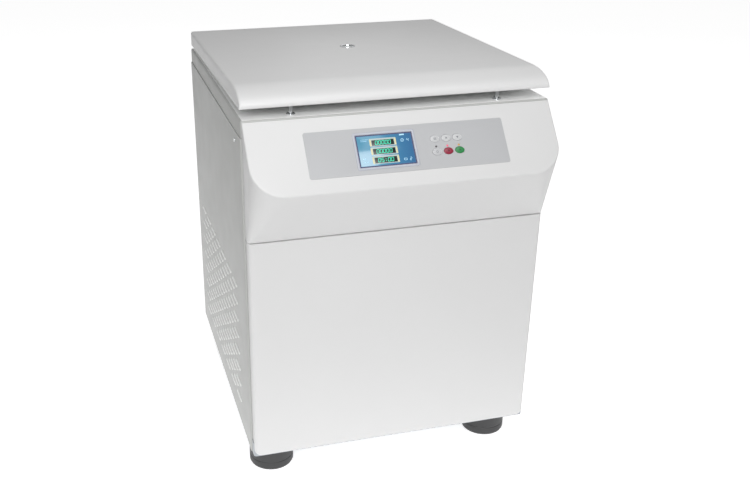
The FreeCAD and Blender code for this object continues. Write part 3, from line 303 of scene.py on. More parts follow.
LAMP_RED = smooth("lamp_red", (236, 88, 118), 0.2, coat=0.6, glow=0.35)
LAMP_AMBER = smooth("lamp_amber", (196, 146, 44), 0.2, coat=0.6, glow=0.15)
RUBBER = finish_of("foot_rubber_dark", (58, 58, 59), 0.5, relief=0.05, grain=500, cloud=0.08)
SEAL = finish_of("seal_rubber_black", (34, 34, 36), 0.55, relief=0.04, grain=800)
CHROME = finish_of("bright_chrome", (226, 228, 230), 0.12, metal=1, relief=0.003)
STAINLESS = finish_of("brushed_stainless", (196, 198, 200), 0.3, metal=1, relief=0.03, grain=160,
                      stretch=(1, 1, 14))
RAW_STEEL = finish_of("zinc_steel", (168, 172, 176), 0.4, metal=1, relief=0.03, patches=30, cloud=0.1)
COPPER = finish_of("drawn_copper", (200, 122, 84), 0.3, metal=1)
FOAM = finish_of("yellow_foam", (214, 196, 138), 0.9, relief=0.1, grain=260, cloud=0.08)
BOARD = finish_of("board_green", (38, 96, 62), 0.45, relief=0.03, grain=420, cloud=0.15, patches=60)
LINER = finish_of("liner_pale_grey", (206, 208, 208), 0.5, relief=0.05, grain=420)
GLASS = finish_of("port_glass_clear", (225, 232, 232), 0.05, relief=0.001, clear=0.9)
BLACK_STEEL = finish_of("spring_black_paint", (36, 37, 40), 0.34)
MOTOR_PAINT = finish_of("motor_dark_paint", (66, 74, 88), 0.48, relief=0.06, grain=420)
SPINDLE = finish_of("ground_steel", (190, 192, 196), 0.22, metal=1, stretch=(1, 1, 20))
ROTOR_METAL = finish_of("anodised_aluminium", (176, 180, 186), 0.34, metal=1, relief=0.03, grain=700)
BUCKET_METAL = finish_of("bucket_metal", (204, 206, 208), 0.28, metal=1, grain=500)
FINS = finish_of("fin_aluminium_dull", (186, 190, 194), 0.46, metal=1, relief=0.05, grain=400)
BLACK_PLASTIC = finish_of("moulded_black", (32, 32, 34), 0.45, relief=0.05, grain=700)
ROCKER = finish_of("rocker_gloss", (22, 22, 24), 0.22, relief=0.01, coat=0.3)


# ---------- mesh helpers

def rounded(corners, steps=6):
    """Points of a closed outline of (x, y, corner radius)."""
    points = []
    count = len(corners)
    for i, (x, y, radius) in enumerate(corners):
        here = Vector((x, y))
        back = Vector(corners[i - 1][:2]) - here
        ahead = Vector(corners[(i + 1) % count][:2]) - here
        if radius <= 0:
            points.append(here)
            continue
        back.normalize()
        ahead.normalize()
        half = back.angle(ahead) / 2
        centre = here + (back + ahead).normalized() * (radius / math.sin(half))
        start = here + back * (radius / math.tan(half)) - centre
        end = here + ahead * (radius / math.tan(half)) - centre
        for step in range(steps + 1):
            points.append(centre + start.slerp(end, step / steps) * radius)
    return points


def box_outline(width, height, corner, inset=0, steps=6, centre=(0, 0)):
    """A rounded rectangle, drawn smaller by an inset on every side."""
    x = width / 2 - inset
    y = height / 2 - inset
    corner = max(corner - inset, 0.01)
    offset = Vector(centre)
    outline = rounded([(-x, -y, corner), (x, -y, corner), (x, y, corner), (-x, y, corner)], steps)
    return [point + offset for point in outline]


def ring(bm, points):
    return [bm.verts.new(point) for point in points]


def level(outline, z):
    return [Vector((point.x, point.y, z)) for point in outline]


def bridge(bm, first, second, closed=True):
    """Join two rings of the same count with faces."""
    count = len(first)
    for i in range(count if closed else count - 1):
        j = (i + 1) % count
        corners = [first[i], first[j], second[j], second[i]]
        unique = list(dict.fromkeys(corners))
        if len(unique) > 2:
            bm.faces.new(unique)


def stack(bm, rings, cap_first=True, cap_last=True):
    """Join rings one after another, and close the ends."""
    made = [ring(bm, points) for points in rings]
    for first, second in zip(made, made[1:]):
        bridge(bm, first, second)
    if cap_first:
        bm.faces.new(list(reversed(made[0])))
    if cap_last:
        bm.faces.new(made[-1])
    return made


def quarter(steps):
    """Angles of a quarter turn, in equal steps."""
    return [math.pi / 2 * i / steps for i in range(steps + 1)]


def arc_levels(radius, low, high, steps=4):
    """(inset, height) pairs of a block with a rounded top rim."""
    top = [(radius * (1 - math.cos(a)), high - radius * (1 - math.sin(a))) for a in quarter(steps)]
    return [(0, low)] + top


def block(bm, width, height, corner, levels, centre=(0, 0), steps=6):
    """A rounded block from (inset, z) levels."""
    stack(bm, [level(box_outline(width, height, corner, inset, steps, centre), z)
               for inset, z in levels])


def oval(width, height, inset=0, centre=(0, 0), steps=44):
    """An ellipse, drawn smaller by an inset."""
    angles = [2 * math.pi * i / steps for i in range(steps)]
    return [Vector((centre[0] + (width / 2 - inset) * math.cos(a),
                    centre[1] + (height / 2 - inset) * math.sin(a))) for a in angles]


def oval_block(bm, size, levels, centre):
    """An elliptic block from (inset, z) levels."""
    stack(bm, [level(oval(*size, inset, centre), z) for inset, z in levels])


def frame_block(bm, outer, inner, profile, centre=(0, 0), steps=6):
    """A closed frame: profile points are (share of the way inwards, z)."""
    outside = box_outline(*outer, steps=steps, centre=centre)
    inside = box_outline(*inner, steps=steps, centre=centre)
    made = []
    for share, z in profile:
        points = [a.lerp(b, share) for a, b in zip(outside, inside)]
        made.append(ring(bm, level(points, z)))
    for i, one in enumerate(made):
        bridge(bm, one, made[(i + 1) % len(made)])


def lathe(bm, profile, steps=48, fillet=3, place=None):
    """Turn a closed profile of (radius, z, rounding) about the Z axis."""
    made = []
    for point in rounded(profile, fillet):
        if point.x < 0.001:
            made.append([bm.verts.new((0, 0, point.y))])
            continue
        angles = [2 * math.pi * i / steps for i in range(steps)]
        made.append(ring(bm, [(point.x * math.cos(a), point.x * math.sin(a), point.y) for a in angles]))
    fresh = [vert for one in made for vert in one]
    for first, second in zip(made, made[1:] + made[:1]):
        if len(first) == 1 and len(second) == 1:
            continue
        if len(first) == 1:
            first = first * steps
        if len(second) == 1:
            second = second * steps
        bridge(bm, first, second)
    if place is not None:
        bmesh.ops.transform(bm, matrix=place, verts=fresh)


def plug(bm, radius, low, high, steps, place):
    """A plain round cutter."""
    lathe(bm, [(0, low, 0), (radius, low, 0), (radius, high, 0), (0, high, 0)], steps, place=place)


def cuboid(bm, low, high, place=None):
    """A plain block, used as a cutter or rounded afterwards."""
    corners = [Vector((x, y, z)) for z in (low[2], high[2])
               for x, y in ((low[0], low[1]), (high[0], low[1]), (high[0], high[1]), (low[0], high[1]))]
    verts = ring(bm, corners)
    for face in ((3, 2, 1, 0), (4, 5, 6, 7), (0, 1, 5, 4), (1, 2, 6, 5), (2, 3, 7, 6), (3, 0, 4, 7)):
        bm.faces.new([verts[i] for i in face])
    if place is not None:
        bmesh.ops.transform(bm, matrix=place, verts=verts)
    return verts


def soften(bm, radius, steps=3, angle=35, chosen=None):
    """Round the sharp edges of a mesh, or only chosen ones."""
    bmesh.ops.recalc_face_normals(bm, faces=bm.faces)
    edges = [edge for edge in bm.edges if len(edge.link_faces) == 2
             and edge.calc_face_angle(0) > math.radians(angle)
             and (chosen is None or chosen(edge))]
    bmesh.ops.bevel(bm, geom=edges, offset=radius, segments=steps, profile=0.5,
                    affect="EDGES", clamp_overlap=True)


def show(thing):
    """Add an object to the scene."""
    bpy.context.scene.collection.objects.link(thing)
    return thing


def as_object(bm, name, place=None):
    """Write a bmesh in millimetres to a new mesh object in metres."""
    bmesh.ops.remove_doubles(bm, verts=bm.verts, dist=0.001)
    bmesh.ops.recalc_face_normals(bm, faces=bm.faces)
    for face in bm.faces:
        face.smooth = max(abs(c) for c in face.normal) < FLAT
    if place is not None:
        bmesh.ops.transform(bm, matrix=place, verts=bm.verts)
    bmesh.ops.scale(bm, vec=(MM, MM, MM), verts=bm.verts)
    mesh = bpy.data.meshes.new(name)
    bm.to_mesh(mesh)
    bm.free()
    mesh.set_sharp_from_angle(angle=SHARP)
    made = bpy.data.objects.new(name, mesh)
    return show(made)


def apply_modifiers(thing):
    """Keep the evaluated mesh in place of the modifiers."""
    bpy.context.view_layer.update()
    shown = thing.evaluated_get(bpy.context.evaluated_depsgraph_get())
    mesh = bpy.data.meshes.new_from_object(shown)
    thing.modifiers.clear()
    thing.data = mesh
    mesh.set_sharp_from_angle(angle=SHARP)


def carve(thing, cutter):
    """Cut one closed mesh out of another."""
    tool = thing.modifiers.new("cut", "BOOLEAN")
    tool.operation = "DIFFERENCE"
    tool.solver = "EXACT"
    tool.object = cutter
    apply_modifiers(thing)
    bpy.data.objects.remove(cutter)


def thicken(thing, thickness):
    """Give a sheet its metal thickness, inwards."""
    solid = thing.modifiers.new("sheet", "SOLIDIFY")
    solid.thickness = thickness * MM
    solid.offset = -1
    apply_modifiers(thing)


def move(thing, place):
    """Move a mesh of metres by a placement in millimetres."""
    for step in (Matrix.Scale(1 / MM, 4), place, Matrix.Scale(MM, 4)):
        thing.data.transform(step)


def piece(thing, material, body="cabinet", replaces=()):
    """Paint a mesh, and fasten it to its CAD body."""
    thing.data.materials.clear()
    thing.data.materials.append(material)
    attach(thing, body)
    if replaces:
        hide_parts(*replaces)
    return thing


def build(name, material, make, body="cabinet", replaces=(), place=None):
    """Make a piece from a function that fills a bmesh."""
    bm = bmesh.new()
    make(bm)
    return piece(as_object(bm, name, place), material, body, replaces)


# ---------- sheet panels

def louvre_rise(share_u, share_v, length, rise):
    """Outward rise of a pressed louvre: none at its ends and top, full at its cut lower lip."""
    end = min(share_u, 1 - share_u) * length
    run = min(end / 3.5, 1)
    return rise * math.sqrt(max(1 - (1 - run) ** 2, 0)) * math.sin((1 - share_v) * math.pi / 2) ** 0.6


def louvre_blade(bm, start, end, row_v, shape):
    """The pressed hood of one louvre."""
    height, rise = shape
    stations = (0, 0.01, 0.025, 0.045, 0.07, 0.3, 0.5, 0.7, 0.93, 0.955, 0.975, 0.99, 1)
    grid = []
    for share_v in (0, 0.25, 0.5, 0.75, 0.9, 1):
        grid.append([bm.verts.new((start + (end - start) * share_u, row_v + height * share_v,
                                   -louvre_rise(share_u, share_v, end - start, rise)))
                     for share_u in stations])
    for first, second in zip(grid, grid[1:]):
        bridge(bm, first, second, closed=False)


def louvre_strip(bm, row_v, louvres, limits, height):
    """The flat sheet between the louvres of one row; returns its lower and upper line."""
    places = [limits[0]] + [place for louvre in louvres for place in louvre] + [limits[1]]
    lower, upper = ([bm.verts.new((place, v, 0)) for place in places] for v in (row_v, row_v + height))
    for i in range(0, len(places), 2):
        bm.faces.new([lower[i], lower[i + 1], upper[i + 1], upper[i]])
    return lower, upper


def roll_edges(bm, limits, folds, turn_in):
    """Roll the outer edges of a flat sheet inwards through an arc, and add a flange."""
    low_u, high_u, low_v, high_v = limits
    edges = [e for e in bm.edges if e.is_boundary and all(
        v.co.x in (low_u, high_u) or v.co.y in (low_v, high_v) for v in e.verts)]
    edges = [e for e in edges if not any(0.001 < v.co.z for v in e.verts)]
    sides = {}
    for edge in edges:
        for vert in edge.verts:
            x = -1 if vert.co.x == low_u else (1 if vert.co.x == high_u else 0)
            y = -1 if vert.co.y == low_v else (1 if vert.co.y == high_v else 0)
            sides[vert] = (x, y, vert.co.copy())
    steps = 5
    rings = [{vert: vert for vert in sides}]
    for step in range(1, steps + 2):
        bend = math.pi / 2 * min(step, steps) / steps
        fresh = {}
        for vert, (x, y, start) in sides.items():
            radius_x = folds[0] if x < 0 else folds[1]
            radius_y = folds[2] if y < 0 else folds[3]
            deep = max(radius_x if x else 0, radius_y if y else 0) * (1 - math.cos(bend))
            deep += turn_in if step > steps else 0
            fresh[vert] = bm.verts.new((start.x + x * radius_x * math.sin(bend),
                                        start.y + y * radius_y * math.sin(bend), deep))
        rings.append(fresh)
    for edge in edges:
        a, b = edge.verts
        for inner, outer in zip(rings, rings[1:]):
            bm.faces.new([inner[a], inner[b], outer[b], outer[a]])


def pressed_panel(name, limits, folds, turn_in, rows, shape, place, replaces):
    """A sheet panel with rows of pressed louvres and rolled edges."""
    sheet = bmesh.new()
    blades = bmesh.new()
    low_u, high_u, low_v, high_v = limits
    previous = [sheet.verts.new((low_u, low_v, 0)), sheet.verts.new((high_u, low_v, 0))]
    for row_v, louvres in rows:
        lower, upper = louvre_strip(sheet, row_v, louvres, (low_u, high_u), shape[0])
        sheet.faces.new(previous + list(reversed(lower)))
        previous = upper
        for start, end in louvres:
            louvre_blade(blades, start, end, row_v, shape)
    sheet.faces.new(previous + [sheet.verts.new((high_u, high_v, 0)), sheet.verts.new((low_u, high_v, 0))])
    roll_edges(sheet, limits, folds, turn_in)
    # The hoods take the lighter grey as a painted highlight; the sheet takes the steel grey that holds
    # painted shade.
    piece(as_object(blades, name + "_louvres", place), LOUVRE_HIGHLIGHT)
    return piece(as_object(sheet, name + "_sheet", place), SHADED_STEEL_PAINT, replaces=replaces)


def side_panels():
    """Side panels with the brick pattern of louvres."""
    length, high = LOUVRE_SIZE
    pitch_y, pitch_z = LOUVRE_PITCH
    low_z = span("side_panel_left")[0].z
    first_y = cab_front + LOUVRE_FIRST[0] - length / 2
    first_z = low_z + LOUVRE_FIRST[1] - high / 2
    rows = []
    for line in range(LOUVRE_LINES):
        odd = line % 2
        starts = [first_y + odd * pitch_y / 2 + pitch_y * i for i in range(7 - odd)]
        rows.append((first_z + pitch_z / 2 * line, [(y, y + length) for y in starts]))
    fold = (5, 5, 3, 3)
    limits = (cab_front + fold[0], cab_back - fold[1], low_z + fold[2], side_top - fold[3] - 0.6)
    for name, side in SIDES:
        place = Matrix(((0, 0, -side, side * (half_width - SHEET_STEP)), (1, 0, 0, 0), (0, 1, 0, 0),
                        (0, 0, 0, 1)))
        pressed_panel("side_panel_" + name, limits, fold, FLANGE, rows, (high, LOUVRE_RISE), place,
                      ["side_panel_" + name])


def rear_panel():
    """Back panel with two columns of exhaust louvres and the inlet opening."""
    length, louvre_high = EXHAUST_SIZE
    low, high = span("rear_panel")
    middle_x = joints["fan_spin"]["pos_m"][0] / MM
    middle_z = joints["fan_spin"]["pos_m"][2] / MM
    starts = [middle_x + x - length / 2 for x in (-EXHAUST_X, EXHAUST_X)]
    rows = [(middle_z - EXHAUST_DROP + EXHAUST_PITCH * line, [(x, x + length) for x in starts])
            for line in range(EXHAUST_LINES)]
    fold = (3, 3, 3, 3)
    limits = (low.x + fold[0], high.x - fold[1], low.z + fold[2], high.z - fold[3] - 0.6)
    place = Matrix(((1, 0, 0, 0), (0, 0, -1, high.y - SHEET_STEP), (0, 1, 0, 0), (0, 0, 0, 1)))
    made = pressed_panel("rear_panel", limits, fold, 0.5, rows, (louvre_high, LOUVRE_RISE), place,
                         ["rear_panel"])
    thicken(made, 1.2)
    opening = bmesh.new()
    (left, foot), (right, head) = INLET_OPENING
    cuboid(opening, (left, high.y - 20, foot), (right, high.y + 5, head))
    carve(made, as_object(opening, "inlet_cutter"))


# ---------- front and console

def front_outline(inset, y, top_wall):
    """Outline of the lower front at one depth, drawn smaller by an inset at its sides and foot."""
    edge = half_width - SIDE_STEP - inset
    low = front_low.z + inset
    top = front_high.z - 0.8 - min(inset, 1.5) - top_wall
    corner = max(FRONT_CORNER - inset, 4)
    points = rounded([(-edge, low, corner), (edge, low, corner), (edge, top, 2), (-edge, top, 2)], 8)
    return [Vector((point.x, y, point.y)) for point in points]


def lower_front():
    """Moulded lower front with rounded sides and lower corners, and a shadow gap behind it."""
    levels = [(FRONT_ROUND * (1 - math.sin(a)), front_low.y + FRONT_ROUND * (1 - math.cos(a)))
              for a in quarter(7)]
    levels += [(0, front_high.y - 6), (3, front_high.y - 5.5), (3, front_high.y)]
    bm = bmesh.new()
    stack(bm, [front_outline(inset, y, 0) for inset, y in levels])
    made = as_object(bm, "lower_front_cover")
    inner = bmesh.new()
    stack(inner, [front_outline(4, y, COVER_WALL)
                  for y in (front_low.y + COVER_WALL, front_high.y + 5)])
    carve(made, as_object(inner, "front_cutter"))
    piece(made, FRONT, replaces=["lower_front_panel"])


def console_rings(inset, lift):
    """Outlines of the console from its sloping face down to the seam, point for point."""
    edge = half_width - SIDE_STEP - inset
    corner = PLATE_CORNER - inset
    steps = 14
    plate = rounded([(-edge, inset - PLATE_LENGTH, corner), (edge, inset - PLATE_LENGTH, corner),
                     (edge, -PLATE_GAP - inset, 0), (-edge, -PLATE_GAP - inset, 0)], steps)
    plate = [console_place @ Vector((p.x, p.y, -lift)) for p in plate]
    seam_z = front_high.z + inset
    back = cab_front - inset / 3
    seam = rounded([(-edge, front_low.y + inset, 8), (edge, front_low.y + inset, 8),
                    (edge, back, 0), (-edge, back, 0)], steps)
    seam = [Vector((p.x, p.y, seam_z)) for p in seam]
    count = 10
    return [[a.lerp(b, i / count) for a, b in zip(plate, seam)] for i in range(count + 1)]


def key_places():
    """Name, x and y on the console face of each key."""
    names = (("key_menu", "key_up", "key_down"), ("key_set", "key_stop", "key_start"))
    for row, drop in zip(names, KEY_ROWS):
        for column, label in enumerate(row):
            yield label, KEY_FIRST + column * KEY_PITCH, -drop


def lamp_place(column):
    return shift(KEY_FIRST + KEY_PITCH * column, -LAMP_DROP, 0)


def face_holes(reach, margin, corner):
    """Cutter of the screen window, which has a margin, and of the key and lamp holes."""
    bm = bmesh.new()
    x, width, high = SCREEN
    block(bm, width + margin, high + margin, corner, [(0, -reach), (0, reach)], (x, -OVERLAY_DROP))
    for _, key_x, key_y in key_places():
        oval_block(bm, KEY_SIZE, [(-KEY_PLAY, -reach), (-KEY_PLAY, reach)], (key_x, key_y))
    for column in range(3):
        plug(bm, LAMP_HOLE, -reach, reach, 20, lamp_place(column))
    return bm


def console():
    """Console housing with a sloping face, soft rims and holes for screen and keys."""
    bm = bmesh.new()
    rings = stack(bm, console_rings(0, 0))
    plate = set(rings[0])
    soften(bm, 3, 4, chosen=lambda e: all(v in plate for v in e.verts))
    soften(bm, 2, 3, angle=50, chosen=lambda e: all(abs(v.co.z - front_high.z) < 0.01 for v in e.verts))
    made = as_object(bm, "console_cover")
    inner = bmesh.new()
    stack(inner, console_rings(COVER_WALL, COVER_WALL))
    carve(made, as_object(inner, "console_cutter"))
    carve(made, as_object(face_holes(8, 1, 0.5), "window_cutter", console_place))
    piece(made, FRONT, replaces=["console_housing"])


def overlay():
    """Membrane film with a softly rounded outer edge."""
    bm = bmesh.new()
    block(bm, *OVERLAY_SIZE, 4, arc_levels(0.4, 0.02, 0.8, 3), (0, -OVERLAY_DROP))
    made = as_object(bm, "overlay_film")
    carve(made, as_object(face_holes(3, 2 * BEZEL_WIDTH + 0.2, 4), "film_cutter"))
    move(made, console_place)
    piece(made, FILM, replaces=["control_overlay"])


# ---------- screen

SEGMENTS = {
    "0": "abcdef", "2": "abged", "4": "fgbc", "5": "afgcd",
}


def digit_bars(bm, character, corner, size, bar, z):
    """The lit bars of one seven-segment digit, leaning a little to the right."""
    x, y = corner
    width, height = size
    lean = 0.12
    gap = bar * 0.15
    half = height / 2
    lines = {
        "a": ((0, height), (width, height)), "g": ((0, half), (width, half)),
        "d": ((0, 0), (width, 0)), "f": ((0, half), (0, height)), "b": ((width, half), (width, height)),
        "e": ((0, 0), (0, half)), "c": ((width, 0), (width, half)),
    }
    for name in SEGMENTS[character]:
        start, end = (Vector(point) for point in lines[name])
        along = (end - start).normalized()
        across = Vector((-along.y, along.x)) * bar / 2
        start = start + along * (gap + bar * 0.3)
        end = end - along * (gap + bar * 0.3)
        tip = along * bar * 0.45
        outline = [start - tip, start - across, end - across, end + tip, end + across, start + across]
        points = [Vector((x + p.x + p.y * lean, y + p.y)) for p in outline]
        stack(bm, [level(points, z), level(points, z + INK)])


def screen_point(right, down):
    """A place on the console face, from the screen's upper left corner."""
    x, width, high = SCREEN
    return x - width / 2 + right, -OVERLAY_DROP + high / 2 - down


def screen_piece(name, material, make, replaces=()):
    """Build one piece of the display on the console face."""
    build(name, material, make, replaces=replaces, place=console_place)


def screen():
    """Display: a dark module, its lit panel, readouts and marks, and the bezel."""
    x, width, high = SCREEN
    middle = (x, -OVERLAY_DROP)

    def module(bm):
        block(bm, width - 0.4, high - 0.4, 0.6, [(0, -5), (0, 0.2), (0.2, 0.4)], middle)

    def lit(bm):
        block(bm, width - 5, high - 5, 0.6, [(0, 0.41), (0, 0.44), (0.03, 0.46)], middle)

    def bezel(bm):
        profile = [(0, 0.03), (0, 0.95), (0.08, 1.3), (0.22, 1.52), (0.45, 1.6), (0.75, 1.55),
                   (0.92, 1.3), (1, 0.9), (1, 0.03)]
        frame_block(bm, (width + 2 * BEZEL_WIDTH, high + 2 * BEZEL_WIDTH, 4.6), (width, high, 1.0),
                    profile, middle, 8)

    screen_piece("screen_module", NAVY, module, ["lcd_screen"])
    screen_piece("screen_panel", SCREEN_BLUE, lit)
    readouts()
    screen_piece("screen_marks", MARK, marks)
    build("screen_bezel", BEZEL, bezel, replaces=["display_bezel"], place=console_place)


def readouts():
    """Three readouts: a pale frame with yellow ends round a dark field with lit digits."""
    centres = [screen_point(READOUT_RIGHT, down) for down in READOUT_DOWN]
    frame_levels = [(0, MARK_LAYER[0]), (0.1, MARK_LAYER[1])]
    field_levels = [(0, FIELD_LAYER[0]), (0.05, FIELD_LAYER[1])]

    def frames(bm):
        for x, y in centres:
            block(bm, *READOUT_SIZE, 0.8, frame_levels, (x, y))

    def ends(bm):
        for x, y in centres:
            for side in (-1, 1):
                block(bm, 2.8, 12.6, 0.4, field_levels, (x + side * 24.2, y - 0.6))

    def darks(bm):
        for x, y in centres:
            block(bm, 43.6, 11, 0.4, field_levels, (x, y - 0.9))

    def digits(bm):
        for centre, text in zip(centres, ("00000", "00000", "05:00")):
            digit_row(bm, centre, text)

    screen_piece("screen_readout_frames", READOUT_FRAME, frames)
    screen_piece("screen_readout_ends", READOUT_END, ends)
    screen_piece("screen_readouts", READOUT_DARK, darks)
    screen_piece("screen_digits", DIGIT, digits)


def digit_row(bm, centre, text):
    """The digits and the colon of one readout."""
    x, y = centre
    advance = 6.3
    start = x - advance * len(text) / 2 + 0.6
    for i, character in enumerate(text):
        left = start + advance * i
        if character != ":":
            digit_bars(bm, character, (left, y - 4.4), (4.3, 7.2), 0.8, DIGIT_FOOT)
            continue
        for rise in (-2.6, 0.8):
            block(bm, 1.3, 1.3, 0.3, [(0, DIGIT_FOOT), (0, DIGIT_FOOT + INK)], (left + 2.6, y + rise))


def marks(bm):
    """Small plain marks round the readouts: two digits, bars, a ring and a box."""
    flat = [(0, z) for z in MARK_LAYER]
    for text, right, down in (("4", 98.5, 15.5), ("2", 98.5, 53.5)):
        x, y = screen_point(right, down)
        digit_bars(bm, text, (x, y - 2.6), (3.2, 5.6), 0.8, MARK_LAYER[0])
    bars = ((86, 4.6, 9.5, 2.6), (9, 9.4, 15, 0.7), (9, 12.4, 12, 0.7), (27.5, 45.5, 3.4, 1.6),
            (27.5, 49.5, 3.4, 1.6), (9, 47.5, 1.2, 3), (12, 47.5, 1.2, 3), (9, 53.5, 3.6, 1),
            (15, 53.5, 3.6, 1))
    for right, down, length, thick in bars:
        x, y = screen_point(right, down)
        block(bm, length, thick, 0.25, flat, (x + length / 2, y))
    outline_mark(bm, (6.4, 6.4, 3.2), (4.8, 4.8, 2.4), screen_point(90, 15.5))
    block(bm, 1, 3, 0.3, flat, screen_point(90, 15.5))
    outline_mark(bm, (6.2, 4.4, 1.6), (4.6, 2.8, 1), screen_point(90, 53.5))


def outline_mark(bm, outer, inner, centre):
    """A small closed outline on the display."""
    low, high = MARK_LAYER
    frame_block(bm, outer, inner, [(0, low), (0, high), (1, high), (1, low)], centre)


# ---------- keys and lamps

def key_cap(bm, centre):
    """A domed oval key with a collar below the console face."""
    oval_block(bm, KEY_SIZE, [(-1.5, -6), (-1.5, -4.5), (0, -4.5), (0, 0.9), (0.12, 1.2), (0.4, 1.35),
                              (0.9, 1.3), (1.3, 1.3), (1.9, 1.45), (3, 1.62), (4.4, 1.74), (5.6, 1.78)],
               centre)


def key_rim(bm, centre):
    """The fine raised ring round a key's dome."""
    profile = [(0.1, 1.1), (0.2, 1.45), (0.55, 1.62), (1.0, 1.55), (1.25, 1.3), (1.1, 1.1)]
    rings = [ring(bm, level(oval(*KEY_SIZE, inset, centre), z)) for inset, z in profile]
    for first, second in zip(rings, rings[1:] + rings[:1]):
        bridge(bm, first, second)


def key_icon(bm, label, x, y):
    """A small plain symbol printed on a key."""
    flat = [(0, KEY_TOP), (0, KEY_TOP + INK)]
    arrows = {"key_up": (0, 1), "key_down": (0, -1), "key_start": (1, 0)}
    if label in arrows:
        aim = Vector(arrows[label])
        across = Vector((-aim.y, aim.x))
        centre = Vector((x, y))
        points = [centre + aim * 2.4, centre - aim * 1.4 + across * 2.5, centre - aim * 1.4 - across * 2.5]
        stack(bm, [level(points, height) for _, height in flat])
    elif label == "key_stop":
        block(bm, 3.8, 3.8, 0.4, flat, (x, y))
    elif label == "key_menu":
        for rise in (-1.7, 0, 1.7):
            block(bm, 5.4, 0.8, 0.3, flat, (x, y + rise))
    else:
        low, high = KEY_TOP, KEY_TOP + INK
        frame_block(bm, (4.6, 4.6, 2.3), (3.2, 3.2, 1.6), [(0, low), (0, high), (1, high), (1, low)],
                    (x, y))


def keys():
    """Six domed keys, each with a fine rim and a symbol."""
    finishes = {"key_stop": (KEY_RED, KEY_RED_INK, "key_red"),
                "key_start": (KEY_GREEN, KEY_GREEN_INK, "key_green"),
                "key_set": (KEY_GREY, KEY_INK, "key_grey")}
    for label, x, y in key_places():
        face, ink, slot = finishes.get(label, (KEY_SILVER, KEY_INK, "key_silver"))
        edge = KEY_RIM if slot in ("key_silver", "key_grey") else face
        parts = (("_cap", face, lambda bm: key_cap(bm, (x, y)), [label]),
                 ("_rim", edge, lambda bm: key_rim(bm, (x, y)), ()),
                 ("_symbol", ink, lambda bm: key_icon(bm, label, x, y), ()))
        for ending, finish, make, replaced in parts:
            build(label + ending, finish, make, body=label, replaces=replaced,
                  place=console_place)


def lamps():
    """Three small lamps: one unlit, one red, one amber."""
    for column, finish in enumerate((LAMP_DARK, LAMP_RED, LAMP_AMBER)):
        def dome(bm):
            lathe(bm, [(0, -4, 0), (2, -4, 0), (2, 1.4, 1.6), (0, 1.4, 0)], 24, 6, lamp_place(column))

        replaced = ["status_lamps"] if column == 0 else []
        build("status_lamp_{}".format(column + 1), finish, dome, replaces=replaced,
              place=console_place)


# ---------- deck and locks

def deck():
    """Deck with a rolled top fold and a set-in skirt in the steel grey with painted shade, and a thin skin
    on its top in a brighter white, painted light that makes the top lighter than the skirt and the strip
    under the lid less shaded.
    """
    middle = (0, (cab_front + cab_back) / 2)
    wide = half_width * 2 - 2 * DECK_STEP
    deep = cab_back - cab_front
    bm = bmesh.new()
    block(bm, wide, deep, 5, [(0, side_top - 3)] + arc_levels(4, 0, deck_top, 5)[1:], middle, 5)
    made = as_object(bm, "deck_cover")
    inner = bmesh.new()
    block(inner, wide - 4, deep - 4, 3, [(0, side_top - 10), (0, deck_top - 4), (2, deck_top - 2)],
          middle, 5)
    carve(made, as_object(inner, "deck_cutter"))
    carve(made, deck_holes())
    piece(made, SHADED_STEEL_PAINT, replaces=["top_deck"])
    # The thin skin on top takes the brighter white as painted light; the skirt below keeps the grey with
    # painted shade.
    film = bmesh.new()
    block(film, wide - 8, deep - 8, 2,
          [(0, deck_top - 0.5), (0, deck_top + 0.1), (0.15, deck_top + 0.25)], middle, 5)
    skin = as_object(film, "deck_painted_light_skin")
    carve(skin, deck_holes())
    piece(skin, DECK_WHITE_PAINTED_LIGHT)


def lock_place(side, z=0):
    return shift(side * LOCK_X, cab_front + LOCK_DEPTH, z)


def deck_holes():
    """Cutter of the chamber mouth, the lock holes and the slots of the gas springs."""
    bm = bmesh.new()
    low = deck_top - 10
    high = deck_top + 10
    plug(bm, MOUTH_RADIUS, low, high, 128, shift(0, rotor_y, 0))
    for side in (-1, 1):
        plug(bm, LOCK_HOLE, low, high, 32, lock_place(side))
        block(bm, *SLOT_SIZE, 3, [(0, low), (0, high)], (side * SLOT_X, hinge.y - 45))
    return as_object(bm, "deck_holes")


def mouth_seal():
    """Chamber seal with two lips."""
    def seal(bm):
        lathe(bm, [(228, deck_top, 0.5), (242, deck_top, 0.5), (242, deck_top + 2, 0.8),
                   (238.5, deck_top + 2.2, 0.5), (236, deck_top + 5, 1.2), (233.6, deck_top + 5, 1),
                   (232.6, deck_top + 3.4, 0.6), (231.4, deck_top + 5, 0.8), (228, deck_top + 4.6, 1.6)],
              144, 4, shift(0, rotor_y, 0))

    build("mouth_seal", SEAL, seal, replaces=["chamber_gasket"])


def lock_parts():
    """Polished lock pins with a groove, and the bright bushes round their holes."""
    low, high = span("striker_pins")
    groove = deck_top - 22

    def pins(bm):
        for side in (-1, 1):
            lathe(bm, [(0, low.z, 0), (2, low.z, 0.6), (3.5, low.z + 4, 1.2), (3.5, groove - 5, 0.6),
                       (2.2, groove - 5, 0.5), (2.2, groove, 0.5), (3.5, groove, 0.6),
                       (3.5, high.z, 0.2), (0, high.z, 0)], 32, 3, lock_place(side))

    def bushes(bm):
        for side in (-1, 1):
            lathe(bm, [(4.6, 0, 0.2), (8.6, 0, 0.2), (8.6, 1.2, 0.6), (7.4, 2.4, 0.9), (5.2, 2.4, 0.6),
                       (4.6, 1.6, 0.3)], 40, 4, lock_place(side, deck_top))

    build("lock_pins", CHROME, pins, body="lid", replaces=["striker_pins"])
    build("lock_pin_bushes", CHROME, bushes, replaces=["lock_bushes"])


# ---------- lid

